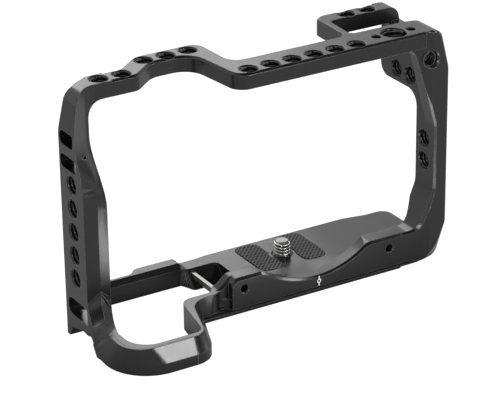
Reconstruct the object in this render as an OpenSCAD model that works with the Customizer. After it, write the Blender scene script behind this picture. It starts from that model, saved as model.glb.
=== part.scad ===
// Camera cage: a machined ring frame with a grip loop, a captive camera screw,
// two rubber pads and a stored hex key. Millimetres, +Z up, the front faces -Y.
// Origin: on the ground, under the centre of the overall width and depth.

/* [Overall] */
// Overall width
cage_w = 149; // [147:0.5:152]
// Height of the top face
cage_h = 94.2; // [93:0.2:97]
// Overall depth
cage_d = 64; // [63:0.5:66]

/* [Top bar] */
// Thickness of the top bar
top_t = 6.1; // [5.5:0.1:7]
// Width of the front part of the bar
top_bar_w = 13.6; // [13:0.1:15]
// Distance of the front plane behind the grip loop's front
front_set = 23; // [22.5:0.1:24]
// Depth of the hump, from the front plane to its rear edge
hump_d = 36.3; // [35.5:0.1:37]
// Width of the hump's band
hump_arm_w = 8.2; // [8:0.1:9]
// Distance of the grip side band behind the front plane
grip_band_set = 20; // [19:0.1:21]
// Slope of the hump's left side
hump_slope = 40; // [36:1:44]
// Left start of the hump, from the centre
hump_left_x = 44.3; // [43:0.1:45]
// Left end of the front bar, from the centre
hump_right_x = 15.6; // [15:0.1:17]
// Lean of the hump's right side
hump_lean = 3.3; // [2.5:0.1:4]
// Right edge of the hump's side arm, from the centre
hump_side_x = 10; // [9:0.1:10.5]

/* [Rear bridge] */
// Width of the bar behind the dial opening
bridge_bar_w = 7; // [6.8:0.1:8]
// Width of the arm beside the dial opening
bridge_arm_w = 3; // [2.5:0.1:4]
// Left edge of the dial opening, from the centre
dial_x = 39.8; // [39:0.1:41]
// Lean of the arm over its length
bridge_lean = 0.7; // [0:0.1:1]
// Corner radius of the dial opening
dial_r = 2.5; // [2:0.1:4]
// Height of the right wall under the dial opening, below the top face
dial_drop = 5.4; // [4.5:0.1:6]

/* [Right pillar] */
// Wall thickness of the pillar
pillar_t = 6; // [5.5:0.1:7]
// Depth of the pillar's wall
pillar_d = 12.3; // [11.5:0.1:13]
// Depth of the wedge at the pillar's front
wedge_d = 6; // [5.5:0.1:7]
// Reach of the wedge at its top, from the wall's inner face
wedge_reach = 8.6; // [8:0.1:9.5]
// Height where the wedge starts
wedge_z = 56.5; // [54:0.5:60]
// Lower edge of the pillar's rear wing
wing_z = 65.9; // [64:0.1:68]
// Run of the lower corner's slanted inner face
corner_run = 6.3; // [5.5:0.1:7]
// Height of the lower corner's slanted inner face
corner_rise = 15.7; // [14:0.1:17]
// Set back of the base's front face from the pillar's front plane
face_set = 2.5; // [2:0.1:3]
// Depth of the large bevel at the lower right corner
bevel_d = 5.5; // [5:0.1:6]

/* [Base] */
// Thickness of the base plate
base_t = 6.2; // [6:0.1:7]
// Width of the dovetail foot, front to rear
dovetail_w = 38; // [37.5:0.1:38.5]
// Height of the dovetail's flange
flange_h = 1.2; // [1:0.1:1.4]
// Depth of the dovetail's groove
groove_d = 1.1; // [0.8:0.1:1.2]
// Distance of the front face in front of the dovetail's edge
face_proud = 0.5; // [0.4:0.1:0.6]
// Right edge of the battery opening, from the centre
battery_x = 6.2; // [5:0.1:7]
// Distance of the battery opening behind the lip
battery_set = 1.3; // [1:0.1:1.6]
// Width of the wall behind the battery opening
battery_wall = 6.2; // [6:0.1:7]
// Run of the sloped face behind the battery opening
battery_slope = 6; // [5:0.1:6.5]
// Step down of the plate's right end
wing_step = 1; // [0.6:0.1:1.2]

/* [Front lip] */
// Height of the lip above the plate
lip_h = 8.3; // [8:0.1:9]
// Thickness of the lip
lip_t = 7; // [6.5:0.1:7.5]
// Radius of the lens clearance cut
lens_r = 36.4; // [36:0.1:38]
// Lowest height of the lens clearance cut above the plate
lens_floor = 0.8; // [0.5:0.1:1.2]
// How much wider the lens clearance is at the lip's rear
lens_flare = 1.5; // [1:0.1:2]
// Left end of the lip, from the centre
lip_left_x = 17.8; // [17:0.1:18]
// Size of the cut corner at the lip's left end
lip_corner = 1.8; // [1.5:0.1:2.2]
// Depth of the recess beside the lip's left end
recess_d = 2.9; // [2.5:0.1:3.2]

/* [Grip loop] */
// Height of the loop
loop_h = 10; // [9.5:0.1:11]
// Height of the loop's upright foot
skirt_h = 4; // [3.5:0.1:5]
// Thickness of the loop's top edge
loop_t = 2.4; // [2.2:0.1:3]
// Distance of the loop's opening from its outer side
loop_side_t = 6.2; // [5.8:0.1:6.6]
// Radius of the loop's rounded left corner
loop_r = 17; // [15:0.5:18]
// How far the skirt leans at the front
skirt_lean = 2.6; // [2:0.1:3]
// Set back of the loop's right end from the base's front face
return_set = 1.5; // [1.2:0.1:2]
// Radius of the sweep from the loop's top up to the wall
sweep_r = 12; // [10:0.5:13]
// Radius of that sweep along the window's edge
inner_sweep_r = 8; // [7:0.5:9]
// Height of the crease where it leaves the wall's outer face
crease_h = 16; // [14:0.5:18]
// Run of the crease down to the skirt's foot
crease_run = 5.2; // [4.5:0.1:6]
// How far the skirt leans at the grip side
side_lean = 2.3; // [2:0.1:2.8]
// Length of the slanted piece inside the loop, in front of the wall
loop_shoulder = 10.7; // [10:0.1:12]
// Right end of the loop's front, from the centre
loop_right_x = 40.4; // [40:0.1:42]

/* [Grip side wall] */
// Thickness of the wall at its front rib
rib_t = 10; // [9:0.1:11]
// Thickness of the wall behind the rib
side_t = 5.5; // [5:0.1:6.5]
// Depth of the wall, front to rear
side_d = 16.8; // [16:0.1:18]
// Depth of the front rib
rib_d = 5.6; // [5:0.1:7]
// Height where the wall's front edge starts to move back
sweep_z = 62; // [60:1:64]
// How far the wall's front edge moves back
sweep_d = 4.8; // [4:0.1:5.5]
// Height over which it moves back
sweep_l = 15; // [13:0.5:17]
// Height where the edge at the window starts to move back
inner_sweep_z = 52.7; // [51:0.1:55]
// Height over which the edge at the window moves back
inner_sweep_l = 23; // [20:0.5:24]
// Width of the bevel along the window's edge
bevel_run = 4.4; // [3.5:0.1:5]
// Depth of that bevel
bevel_set = 1.3; // [1:0.1:1.8]
// Height of the two strap slots near the top
slot_h = 5.2; // [4.8:0.1:5.6]
// Lower edge of the upper strap slot
upper_slot_z = 74.7; // [74:0.1:75.2]
// Lower edge of the middle strap slot
lower_slot_z = 66; // [65:0.1:66.4]
// Front end of the middle strap slot, behind the wall's front edge
lower_slot_set = 4.3; // [4:0.1:5]
// Height of the wrist strap's slot
strap_h = 6.6; // [6:0.1:7]
// Lower edge of the wrist strap's slot
strap_z = 9.5; // [9:0.1:10]
// Reach of that slot in front of the wall's front edge
strap_reach = 2.1; // [1.5:0.1:2.5]
// Distance of that slot's rear end from the wall's rear edge
strap_set = 1.9; // [1.5:0.1:2.5]
// Height of the arch under the wall
arch_z = 6.1; // [5.5:0.1:6.5]

/* [Rear rail] */
// Thickness of the rail
rail_t = 3; // [2.6:0.1:3.4]
// Height of the rail
rail_h = 8.7; // [8:0.1:9.2]
// Chamfer along the rail's front edge
rail_c = 1.9; // [1.5:0.1:2.2]
// Left end of the wide part beside the plate, from the centre
rail_wide_x = 38; // [36:0.5:42]
// Run of the blend from the rail to the plate
rail_blend = 3.2; // [2.5:0.1:4]
// Distance of the rail in front of the plate's rear edge
rail_back = 0.6; // [0.4:0.1:1]

/* [Camera screw] */
// Lens axis and camera screw, from the centre
screw_x = 18.2; // [17:0.1:19]
// Distance of the screw behind the dovetail's front edge
screw_set = 24; // [23:0.5:25]
// Thread diameter of the camera screw
screw_d = 6.35; // [6.3:0.01:6.4]
// Height of the stud above the plate
stud_h = 5.8; // [5:0.1:6]
// Diameter of the screw's neck
neck_d = 4.9; // [4.6:0.1:5]
// Diameter of the screw's head
head_d = 13; // [12:0.1:14]
// Thickness of the screw's head
head_t = 2.4; // [2.2:0.1:2.6]
// Depth of the head's recess
head_recess = 2.8; // [2.7:0.1:3]
// Outer diameter of the retaining ring
ring_d = 7.4; // [7:0.1:8]
// Thickness of the retaining ring
ring_t = 0.8; // [0.6:0.1:1]
// How far the ring lies below the plate's top
ring_sink = 0.2; // [0.2:0.05:0.4]
// Width across flats of the socket in the screw's head
socket_af = 4; // [3:0.5:4]
// Width of the coin slot across the screw's head
coin_w = 1.2; // [1:0.1:1.5]

/* [Pads] */
// Width of a rubber pad
pad_w = 10; // [9:0.1:10.5]
// Length of a rubber pad
pad_l = 23; // [21:0.1:24]
// Distance of the pads' centres from the screw
pad_set = 9.4; // [9.2:0.1:10]
// Distance of the pads' centres behind the screw
pad_back = 1.4; // [1:0.1:2]
// Depth of a pad's recess
pad_recess = 0.9; // [0.7:0.1:1.1]
// Width of the bare ring of plate between the screw's recess and a pad
pad_notch = 1.5; // [1.2:0.1:2]
// How far a pad stands proud of the plate
pad_proud = 0.3; // [0.2:0.05:0.4]

/* [Hex key] */
// Place of the key, from the centre
key_x = 17; // [16.5:0.1:17.5]
// Height of the key's axis
key_z = 3.8; // [3.7:0.1:4]
// Width across flats of the key
key_af = 2.5; // [2.4:0.05:2.6]
// Length of the key's short arm
key_short = 14; // [12:0.5:15]
// Bend radius at the key's centre line
key_bend = 3.5; // [3:0.1:4]
// Depth of the key's tip in the front wall
key_tip = 4; // [3:0.1:5]
// Diameter of the key's magnet
magnet_d = 3; // [2.5:0.1:3.2]
// Length of the key's magnet
magnet_l = 1.8; // [1.5:0.1:2]

/* [Threaded holes] */
// Bore of the 1/4"-20 holes
quarter_d = 5.2; // [5.1:0.05:5.6]
// Bore of the 3/8"-16 hole
three_eighth_d = 8; // [7.9:0.05:8.3]
// Diameter of the locating pin holes
pin_hole_d = 3.6; // [3.4:0.05:3.8]
// Spacing of the two locating pin holes
pin_spacing = 15; // [14.8:0.1:15.2]
// Pitch of the holes in a row
hole_pitch = 9; // [8.9:0.05:9.1]
// Bore of the small front holes
small_d = 3; // [2.5:0.1:3.2]
// Depth of a blind hole
blind_l = 5; // [4:0.1:5.2]
// Width of the countersink at a threaded hole's mouth
mouth_c = 1.1; // [0.8:0.1:1.2]

/* [Edges] */
// Chamfer along the front and top edges
edge_c = 0.8; // [0.5:0.1:1]
// Chamfer along the lip's front edge
lip_c = 1; // [0.8:0.1:1.2]

/* [Hidden] */

// One overrun for every cut
over = 2;
// Overrun of the chamfer cutters, below the smallest corner radius
edge_over = 0.4;
// Running clearance of a turning or sliding piece, on its radius
running = 0.08;
// Axial play of the captive screw
play = 0.2;
// Clearances round the screw's head and its retaining ring, and in front of the key's tip
head_gap = 0.45;
ring_gap = 0.4;
tip_gap = 0.5;
// Largest turn between two points of an arc, and the points of a lofted arc
arc_step = 11;
loft_steps = 8;
$fn = 64;

frame_black = [0.13, 0.13, 0.135];
rubber_black = [0.09, 0.09, 0.09];
steel = [0.72, 0.72, 0.7];

// Planes of the frame
half_w = cage_w / 2;
half_d = cage_d / 2;
top_z = cage_h;
bar_z = top_z - top_t;
front_y = front_set - half_d;
face_y = front_y + face_set;
foot_y = half_d - dovetail_w;
bar_y = front_y + top_bar_w;
hump_y = front_y + hump_d;
hump_in_y = hump_y - hump_arm_w;
band_y = front_y + grip_band_set;
band_rear_y = band_y + hump_arm_w;
rib_x = rib_t - half_w;
wall_x = half_w - pillar_t;
wall_y = front_y + pillar_d;
side_rear_y = 14.5;
side_front_y = side_rear_y - side_d;
lip_z = base_t + lip_h;
lip_y = face_y + lip_t;
screw_y = foot_y + screw_set;
rail_rear_y = half_d - rail_back;
lens_z = base_t + lens_floor + lens_r;

// Planes where the members of the frame meet
bridge_joint_x = 64;
bridge_joint_y = bar_y + dial_r;
pillar_joint_z = 77;
side_joint_z = 81;
base_joint_x = 56;
loop_joint_x = 21;
rail_joint_x = 22;

// Outline helpers: a corner is [x, y, radius]
function unit(v) = v / norm(v);
function flat(p) = [p[0], p[1]];
function arc_points(p, n, r, turn, side, steps) =
    let (centre = p + n * r, start = atan2(-n[1], -n[0]))
    [for (i = [0:steps])
        let (a = start - side * turn * i / steps)
        centre + r * [cos(a), sin(a)]];
function fillet(a, b, c, steps) =
    let (u = unit(flat(a) - flat(b)), v = unit(flat(c) - flat(b)))
    let (turn = 180 - acos(max(-1, min(1, u * v))))
    let (side = sign(u[0] * v[1] - u[1] * v[0]))
    b[2] == 0 ? [flat(b)] :
    arc_points(flat(b) + u * b[2] * tan(turn / 2), side * [-u[1], u[0]], b[2], turn, side,
        steps > 0 ? steps : max(1, ceil(turn / arc_step)));
function rounded(corners, steps = 0) =
    let (n = len(corners))
    [for (i = [0:n - 1])
        each fillet(corners[(i + n - 1) % n], corners[i], corners[(i + 1) % n], steps)];

// Outward mitre of an outline that runs counter-clockwise
function right_of(d) = [d[1], -d[0]];
function mitre(pts, i, closed) =
    let (n = len(pts))
    let (before = closed || i > 0 ? unit(pts[i] - pts[(i + n - 1) % n]) : unit(pts[1] - pts[0]))
    let (after = closed || i < n - 1 ? unit(pts[(i + 1) % n] - pts[i]) : before)
    let (n1 = right_of(closed || i > 0 ? before : after), n2 = right_of(after))
    (n1 + n2) / (1 + n1 * n2);

// Side faces between rings of equal length, and the caps of a solid made of rings
function ring_sides(n, k) = [for (j = [0:k - 2], i = [0:n - 1])
    let (a0 = j * n + i, b0 = j * n + (i + 1) % n)
    each [[a0 + n, b0 + n, b0], [a0 + n, b0, a0]]];
module rings(sections) {
    n = len(sections[0]);
    k = len(sections);
    bottom = [for (i = [0:n - 1]) i];
    top = [for (i = [n - 1:-1:0]) (k - 1) * n + i];
    polyhedron([for (s = sections) each s], concat([bottom], ring_sides(n, k), [top]), convexity = 8);
}

// Cutter for a 45 degree chamfer of width c along the upper edge of an upright outline;
// h is the height of the face that the edge belongs to, one number for each point
module edge_cut(pts, h, c, closed = true) {
    n = len(pts);
    sections = [for (i = [0:n - 1])
        let (m = mitre(pts, i, closed), p = pts[i], z = h[i])
        [[each p - m * (c + edge_over), z + edge_over], [each p + m * edge_over, z + edge_over],
            [each p + m * edge_over, z - c - edge_over]]];
    last = closed ? n - 1 : n - 2;
    sides = [for (i = [0:last], e = [0:2])
        let (a0 = 3 * i + e, b0 = 3 * i + (e + 1) % 3)
        let (a1 = 3 * ((i + 1) % n) + e, b1 = 3 * ((i + 1) % n) + (e + 1) % 3)
        each [[a1, b1, b0], [a1, b0, a0]]];
    ends = closed ? [] : [[0, 1, 2], [3 * n - 1, 3 * n - 2, 3 * n - 3]];
    polyhedron([for (s = sections) each s], concat(sides, ends), convexity = 8);
}

// Prisms: plan outlines rise along Z, front outlines [x, z] run along Y, side outlines [y, z] along X
module plan(pts, z0, z1) {
    translate([0, 0, z0]) linear_extrude(z1 - z0) polygon(pts);
}
module front_frame() {
    rotate([90, 0, 0]) children();
}
module front(pts, y0, y1) {
    front_frame() plan(pts, -y1, -y0);
}
module side(pts, x0, x1) {
    rotate([90, 0, 90]) plan(pts, x0, x1);
}
module box(low, high) {
    translate(low) cube(high - low);
}

// A hole along -Z from its mouth at the origin, with a countersink
module hole(d, depth, c = mouth_c) {
    translate([0, 0, -depth]) cylinder(h = depth + over, d = d);
    translate([0, 0, -c]) cylinder(h = c + over, d1 = d, d2 = d + 2 * (c + over));
}
module top_hole(x, y, d, c = mouth_c) {
    translate([x, y, top_z]) hole(d, top_t + over, c);
}

// Plan outline of the top: grip side band, hump, front bar and rear bridge
hump_shift = hump_arm_w * tan(hump_slope / 2);
hump_run = (hump_in_y - band_y) / tan(hump_slope);
arm_x = dial_x - bridge_arm_w;
top_outline = rounded([
    [-half_w, side_front_y + sweep_d, 0],
    [rib_x, band_y, hump_arm_w],
    [-hump_left_x, band_y, hump_arm_w / 2],
    [-hump_left_x + hump_run, hump_in_y, hump_arm_w],
    [-hump_right_x - hump_lean, hump_in_y, hump_arm_w],
    [-hump_right_x, front_y, 0.7 * hump_arm_w],
    [half_w, front_y, 0],
    [half_w, hump_y, 0],
    [arm_x + bridge_lean, hump_y, 2 * dial_r],
    [arm_x, bar_y, dial_r],
    [-hump_side_x, bar_y, 2 * dial_r],
    [-hump_side_x - hump_lean / 3, hump_y, 2 * dial_r],
    [-hump_left_x + hump_run - hump_shift, hump_y, hump_arm_w],
    [-hump_left_x - hump_shift, band_rear_y, hump_arm_w / 2],
    [rib_x + side_t - rib_t / 6, band_rear_y, hump_arm_w / 2],
    [rib_x - hump_arm_w / 2, side_rear_y, dial_r],
    [-half_w, side_rear_y, 0]]);
dial_outline = rounded([
    [dial_x, bar_y, dial_r],
    [bridge_joint_x, bar_y, 0],
    [half_w + over, bar_y - dial_r, 0],
    [half_w + over, hump_y - bridge_bar_w, 0],
    [dial_x + bridge_lean, hump_y - bridge_bar_w, dial_r]]);

module top_form() {
    difference() {
        plan(top_outline, bar_z, top_z);
        edge_cut(top_outline, [for (p = top_outline) top_z], edge_c);
        dial_cut();
    }
}
module dial_cut() {
    plan(dial_outline, top_z - dial_drop, top_z + over);
    intersection() {
        plan(dial_outline, bar_z - over, top_z);
        box([0, -half_d, 0], [wall_x, half_d, top_z]);
    }
}

// Front outline of the right pillar, with the wedge that widens to the top bar
corner_x = wall_x - corner_run;
pillar_inner = [
    [wall_x - wedge_reach, bar_z, 0.9 * pillar_t],
    [wall_x, wedge_z, pillar_t],
    [wall_x, lip_z + corner_rise, 1.3 * pillar_t],
    [corner_x, lip_z, pillar_t]];
pillar_left_x = base_joint_x - over - pillar_t;
pillar_outline = rounded(concat(
    [[pillar_left_x, 0, 0], [half_w, 0, 0], [half_w, top_z, 0], [pillar_left_x, top_z, 0],
        [pillar_left_x, bar_z, 0]],
    pillar_inner,
    [[pillar_left_x, lip_z, 0]]));
pillar_wall_outline = rounded(concat(
    [[pillar_left_x, 0, 0], [half_w, 0, 0], [half_w, top_z, 0], [pillar_left_x, top_z, 0],
        [pillar_left_x, bar_z, 0], [wall_x, bar_z, dial_r]],
    [pillar_inner[2], pillar_inner[3]],
    [[pillar_left_x, lip_z, 0]]));
wall_side_outline = rounded([
    [front_y, 0, 0],
    [wall_y, 0, 0],
    [wall_y, base_t, 0],
    [wall_y + 1.4 * pillar_t, base_t, 0],
    [wall_y, lip_z + pillar_t, 1.3 * pillar_t],
    [wall_y, wing_z, pillar_t],
    [hump_y, wing_z, 0.8 * pillar_t],
    [hump_y, top_z, 0],
    [front_y, top_z, 0]]);
// The front face steps back from the pillar to the base over a slanted band
band_x0 = base_joint_x + 0.4 * pillar_t;
band_x1 = wall_x - 0.25 * pillar_t;
front_plan = [
    [pillar_left_x, face_y], [band_x0, face_y], [band_x1, front_y], [half_w + over, front_y],
    [half_w + over, half_d], [pillar_left_x, half_d]];
function front_at(x) = x < band_x0 ? face_y :
    x > band_x1 ? front_y : face_y + (front_y - face_y) * (x - band_x0) / (band_x1 - band_x0);
// Rear edge of the lip, which sweeps back into the pillar's wall
lip_plan = rounded([
    [pillar_left_x, front_y, 0],
    [half_w + over, front_y, 0],
    [half_w + over, half_d, 0],
    [wall_x, half_d, 0],
    [wall_x, lip_y, 1.5 * pillar_t],
    [pillar_left_x, lip_y, 0]]);

// Outside of the pillar: straight side, drawn-in top corner and the bevel at the lower corner
corner_outer = [
    [half_w, top_z - 2.6 * pillar_t, 1.6 * pillar_t],
    [half_w - 0.65 * pillar_t, top_z, 0.75 * pillar_t],
    [0, top_z, 0]];
bevel_outline = rounded(concat(
    [[0, 0, 0], [band_x0 - pillar_t / 4, flange_h, 0],
        [wall_x - pillar_t / 2, flange_h + groove_d, 1.3 * pillar_t],
        [wall_x + 0.4 * pillar_t, base_t + flange_h, 1.3 * pillar_t],
        [half_w, lip_z + pillar_t / 4, pillar_t]], corner_outer));
full_outline = rounded(concat([[0, 0, 0], [half_w, 0, 0.8 * pillar_t]], corner_outer));
skin = 0.01;
module pillar_envelope() {
    hull() {
        front([for (i = [0:len(bevel_outline) - 1])
            bevel_outline[i] - edge_c * mitre(bevel_outline, i, true)], front_y, front_y + skin);
        front(bevel_outline, front_y + edge_c, front_y + edge_c + skin);
        front(full_outline, front_y + bevel_d, hump_y);
    }
}

module pillar_form() {
    intersection() {
        union() {
            front(pillar_outline, front_y, front_y + wedge_d);
            intersection() {
                front(pillar_wall_outline, front_y + wedge_d, hump_y);
                union() {
                    plan(lip_plan, 0, pillar_joint_z);
                    box([pillar_left_x, front_y, pillar_joint_z], [half_w, half_d, top_z]);
                }
            }
        }
        side(wall_side_outline, pillar_left_x, half_w);
        plan(front_plan, 0, top_z);
        pillar_envelope();
    }
}
// Inner edge of the pillar's front face, from the top bar round to the lip
pillar_edge = [for (p = rounded(concat([[pillar_left_x, bar_z, 0]], pillar_inner,
    [[pillar_left_x, lip_z, 0]]))) p];
module pillar_edge_cut() {
    front_frame() edge_cut(pillar_edge, [for (p = pillar_edge) -front_at(p[1] > 2 * lip_z ? half_w : p[0])],
        edge_c, closed = false);
}
pillar_hole_y = wall_y - 0.82 * pillar_t;
pillar_hole_z = 39.7;
wing_hole_z = 70.7;
wing_hole_y = 8;
front_hole_x = 66.2;
front_hole_z = 83.1;
module wall_hole(y, z) {
    translate([wall_x, y, z]) rotate([0, -90, 0]) hole(quarter_d, pillar_t + over);
}

module right_pillar() {
    color(frame_black) difference() {
        intersection() {
            pillar_form();
            union() {
                box([base_joint_x, -half_d, 0], [half_w, lip_y, pillar_joint_z]);
                box([base_joint_x, -half_d, base_t], [half_w, half_d, pillar_joint_z]);
            }
        }
        pillar_edge_cut();
        foot_groove();
        for (i = [0, 1]) {
            wall_hole(pillar_hole_y, pillar_hole_z + i * hole_pitch);
            wall_hole(wing_hole_y + i * hole_pitch, wing_hole_z);
        }
    }
}

// Grip side wall: its front edge sweeps back and turns towards the hump near the top
function ease(s) = s * s * (3 - 2 * s);
function share(z, z0, z1) = max(0, min(1, (z - z0) / (z1 - z0)));
function side_outer_y(z) = side_front_y + sweep_d * ease(share(z, sweep_z, sweep_z + sweep_l));
// Front edge in plan at the top, which the edge at the foot turns into
top_edge = concat(
    [[-half_w - over, side_front_y + sweep_d - over * (band_y - side_front_y - sweep_d) / rib_t],
        [-half_w, side_front_y + sweep_d],
        [rib_x - bevel_run, band_y - (band_y - side_front_y - sweep_d) * bevel_run / rib_t]],
    fillet([-half_w, side_front_y + sweep_d], [rib_x, band_y, hump_arm_w], [rib_x + rib_t, band_y], 6),
    [[rib_x + rib_t, band_y]]);
function foot_edge_y(x) = side_front_y + bevel_set * share(x, rib_x - bevel_run, rib_x);
function side_edge_y(p, z) =
    let (f = share(p[0], -half_w, rib_x), y = foot_edge_y(p[0]))
    y + (p[1] - y) * ((1 - f) * ease(share(z, sweep_z, sweep_z + sweep_l))
        + f * ease(share(z, inner_sweep_z, inner_sweep_z + inner_sweep_l)));
function side_section(z) = concat(
    [for (p = top_edge) [p[0], side_edge_y(p, z), z]],
    [[rib_x + rib_t, hump_y, z], [-half_w - over, hump_y, z]]);
sweep_end = max(sweep_z + sweep_l, inner_sweep_z + inner_sweep_l);
side_stations = concat([-over], [for (i = [0:1.5 * loft_steps])
    inner_sweep_z + (sweep_end - inner_sweep_z) * i / (1.5 * loft_steps)], [top_z + over]);
side_front_outline = rounded([
    [-half_w, 0, 0],
    [rib_x, 0, 0],
    [rib_x, bar_z, 0.6 * rib_t],
    [rib_x + rib_t, bar_z, 0],
    [rib_x + rib_t, top_z, 0],
    [-half_w + 0.35 * rib_t, top_z, 0.6 * rib_t],
    [-half_w, top_z - 1.5 * rib_t, 1.2 * rib_t]]);
side_rear_outline = rounded([
    [-half_w, -half_d, 0],
    [rib_x + rib_t, -half_d, 0],
    [rib_x + rib_t, band_rear_y, 0],
    [rib_x + side_t - rib_t / 6, band_rear_y, hump_arm_w / 2],
    [rib_x - hump_arm_w / 2, side_rear_y, dial_r],
    [-half_w, side_rear_y, 0]]);
module side_form() {
    intersection() {
        rings([for (z = side_stations) side_section(z)]);
        front(side_front_outline, -half_d, half_d);
        union() {
            plan(side_rear_outline, bar_z, top_z);
            box([-half_w, -half_d, 0], [rib_x + rib_t, side_rear_y, top_z]);
        }
    }
}
// Behind its rib the wall is thinner, so that the camera's side clears it
module side_relief() {
    y0 = side_front_y + rib_d;
    side(rounded([[y0, -over, 0], [half_d, -over, 0], [half_d, sweep_z + sweep_l, 0],
        [side_rear_y, sweep_z + sweep_l, 0], [y0, inner_sweep_z + rib_d / 2, rib_d]]),
        -half_w + side_t, rib_x + over);
}
// Slots and the arch under the wall, as side outlines
arch_outline = rounded([
    [side_rear_y - 0.2 * rib_d, -over, 0],
    [side_rear_y - 0.75 * rib_d, 0.67 * arch_z, dial_r],
    [side_front_y + 0.67 * rib_d, arch_z, 2 * dial_r],
    [side_front_y - rib_d / 3, 0.9 * arch_z, dial_r],
    [side_front_y - 1.25 * rib_d, -over, 0]]);
slot_y1 = side_rear_y - edge_c;
strap_mid_z = strap_z + strap_h / 2;
strap_y0 = side_front_y - strap_reach;
strap_y1 = side_rear_y - strap_set;
strap_outline = rounded([
    [strap_y0, strap_z, strap_h / 2.2],
    [strap_y1, strap_z, strap_h / 2.2],
    [strap_y1, strap_z + strap_h, strap_h / 2.2],
    [strap_y0, strap_z + strap_h, strap_h / 2.2]]);
module side_slot(y0, z0, slant) {
    intersection() {
        side(rounded([[y0, z0, slot_h / 4], [slot_y1, z0, slot_h / 2.2],
            [slot_y1, z0 + slot_h, slot_h / 2.2], [y0, z0 + slot_h, slot_h / 4]]),
            -half_w - over, rib_x + over);
        plan([[-half_w - over, y0 - over * slant], [-half_w + side_t + edge_over, y0 + side_t * slant],
            [-half_w + side_t + edge_over, slot_y1 - edge_c], [rib_x + over, slot_y1 - edge_c],
            [rib_x + over, slot_y1], [-half_w - over, slot_y1]], z0, z0 + slot_h);
    }
}
side_hole_y = 6;
side_hole_z = 25;
module grip_side_wall() {
    color(frame_black) difference() {
        union() {
            intersection() {
                side_form();
                box([-half_w, side_front_y, 0], [rib_x + rib_t, half_d, side_joint_z]);
            }
            difference() {
                intersection() {
                    wall_fillet();
                    union() {
                        box([-half_w, -half_d, strap_mid_z], [rib_x, half_d, side_joint_z]);
                        box([-half_w, side_front_y, 0], [rib_x, half_d, side_joint_z]);
                    }
                }
                plan(grip_opening, 0, top_z);
            }
        }
        side_relief();
        side(arch_outline, -half_w - over, rib_x + over);
        side(strap_outline, -half_w - over, -half_w + side_t + edge_over);
        side_slot(side_outer_y(top_z) + bevel_set, upper_slot_z, 0.8);
        side_slot(side_front_y + lower_slot_set, lower_slot_z, 0.5);
        for (i = [0:4]) translate([-half_w, side_hole_y, side_hole_z + i * hole_pitch])
            rotate([0, -90, 0]) hole(quarter_d, side_t + over);
    }
}

module top_bar() {
    color(frame_black) difference() {
        union() {
            intersection() {
                top_form();
                union() {
                    box([rib_x + dial_r, -half_d, bar_z], [bridge_joint_x, bridge_joint_y, top_z]);
                    box([rib_x + dial_r, -half_d, bar_z], [0, half_d, top_z]);
                }
            }
            intersection() {
                difference() {
                    side_form();
                    side_relief();
                }
                box([-half_w, -half_d, side_joint_z], [rib_x + dial_r + rib_t, half_d, top_z]);
            }
            intersection() {
                difference() {
                    pillar_form();
                    dial_cut();
                }
                union() {
                    box([base_joint_x - over, -half_d, pillar_joint_z], [half_w, bar_y, top_z]);
                    box([bridge_joint_x, -half_d, pillar_joint_z], [half_w, half_d, top_z]);
                }
            }
        }
        intersection() {
            pillar_edge_cut();
            box([0, -half_d, 0], [half_w, half_d, bar_z]);
        }
        top_holes();
        translate([front_hole_x, front_y, front_hole_z]) rotate([90, 0, 0])
            hole(quarter_d, wedge_d + edge_over);
    }
}
row_y = -4.9;
hump_hole_y = 22.4;
band_hole_y = 15;
grip_hole_x = -57.8;
cold_x = 53.6;
cold_y = -2.7;
bridge_hole_x = 50.2;
bridge_hole_y = hump_y - bridge_bar_w / 2;
module top_holes() {
    for (i = [0:1]) top_hole(grip_hole_x + i * hole_pitch, band_hole_y, quarter_d);
    for (i = [-4:-2]) top_hole(i * hole_pitch, hump_hole_y, quarter_d);
    for (i = [-1:4]) top_hole(i * hole_pitch, row_y, quarter_d);
    top_hole(cold_x, cold_y, three_eighth_d);
    for (s = [-1, 1]) top_hole(cold_x + s * pin_spacing / 2, cold_y, pin_hole_d, mouth_c / 5);
}

module rear_bridge() {
    color(frame_black) difference() {
        intersection() {
            top_form();
            box([base_joint_x / 2, bridge_joint_y, bar_z], [bridge_joint_x, half_d, top_z]);
        }
        for (i = [0, 1]) top_hole(bridge_hole_x + i * hole_pitch, bridge_hole_y, quarter_d);
    }
}

// Grip loop: a ring with an upright foot and a skirt that leans in to its thin top edge
loop_top_y = -half_d + skirt_lean;
return_y = face_y + return_set;
loop_low = rounded([
    [-half_w, side_front_y, 0],
    [-half_w, -half_d, loop_r],
    [-loop_right_x, -half_d, loop_h],
    [-loop_right_x + loop_h, foot_y, face_proud],
    [-loop_joint_x, foot_y, 0],
    [-loop_joint_x, lip_y + over, 0],
    [rib_x + 2 * rib_t, lip_y + over, 0],
    [rib_x + 2 * rib_t, side_front_y, 0]], loft_steps);
loop_high = rounded([
    [rib_x - bevel_run, side_front_y, 0],
    [-half_w + side_lean, loop_top_y, loop_h],
    [-loop_right_x - 0.16 * loop_h, loop_top_y, 0.7 * loop_h],
    [-loop_right_x + 0.62 * loop_h, return_y, 0.9 * loop_h],
    [-loop_joint_x, return_y, 0],
    [-loop_joint_x, lip_y + over, 0],
    [rib_x + 2 * rib_t, lip_y + over, 0],
    [rib_x + 2 * rib_t, side_front_y, 0]], loft_steps);
function at_height(pts, z) = [for (p = pts) [p[0], p[1], z]];
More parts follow.
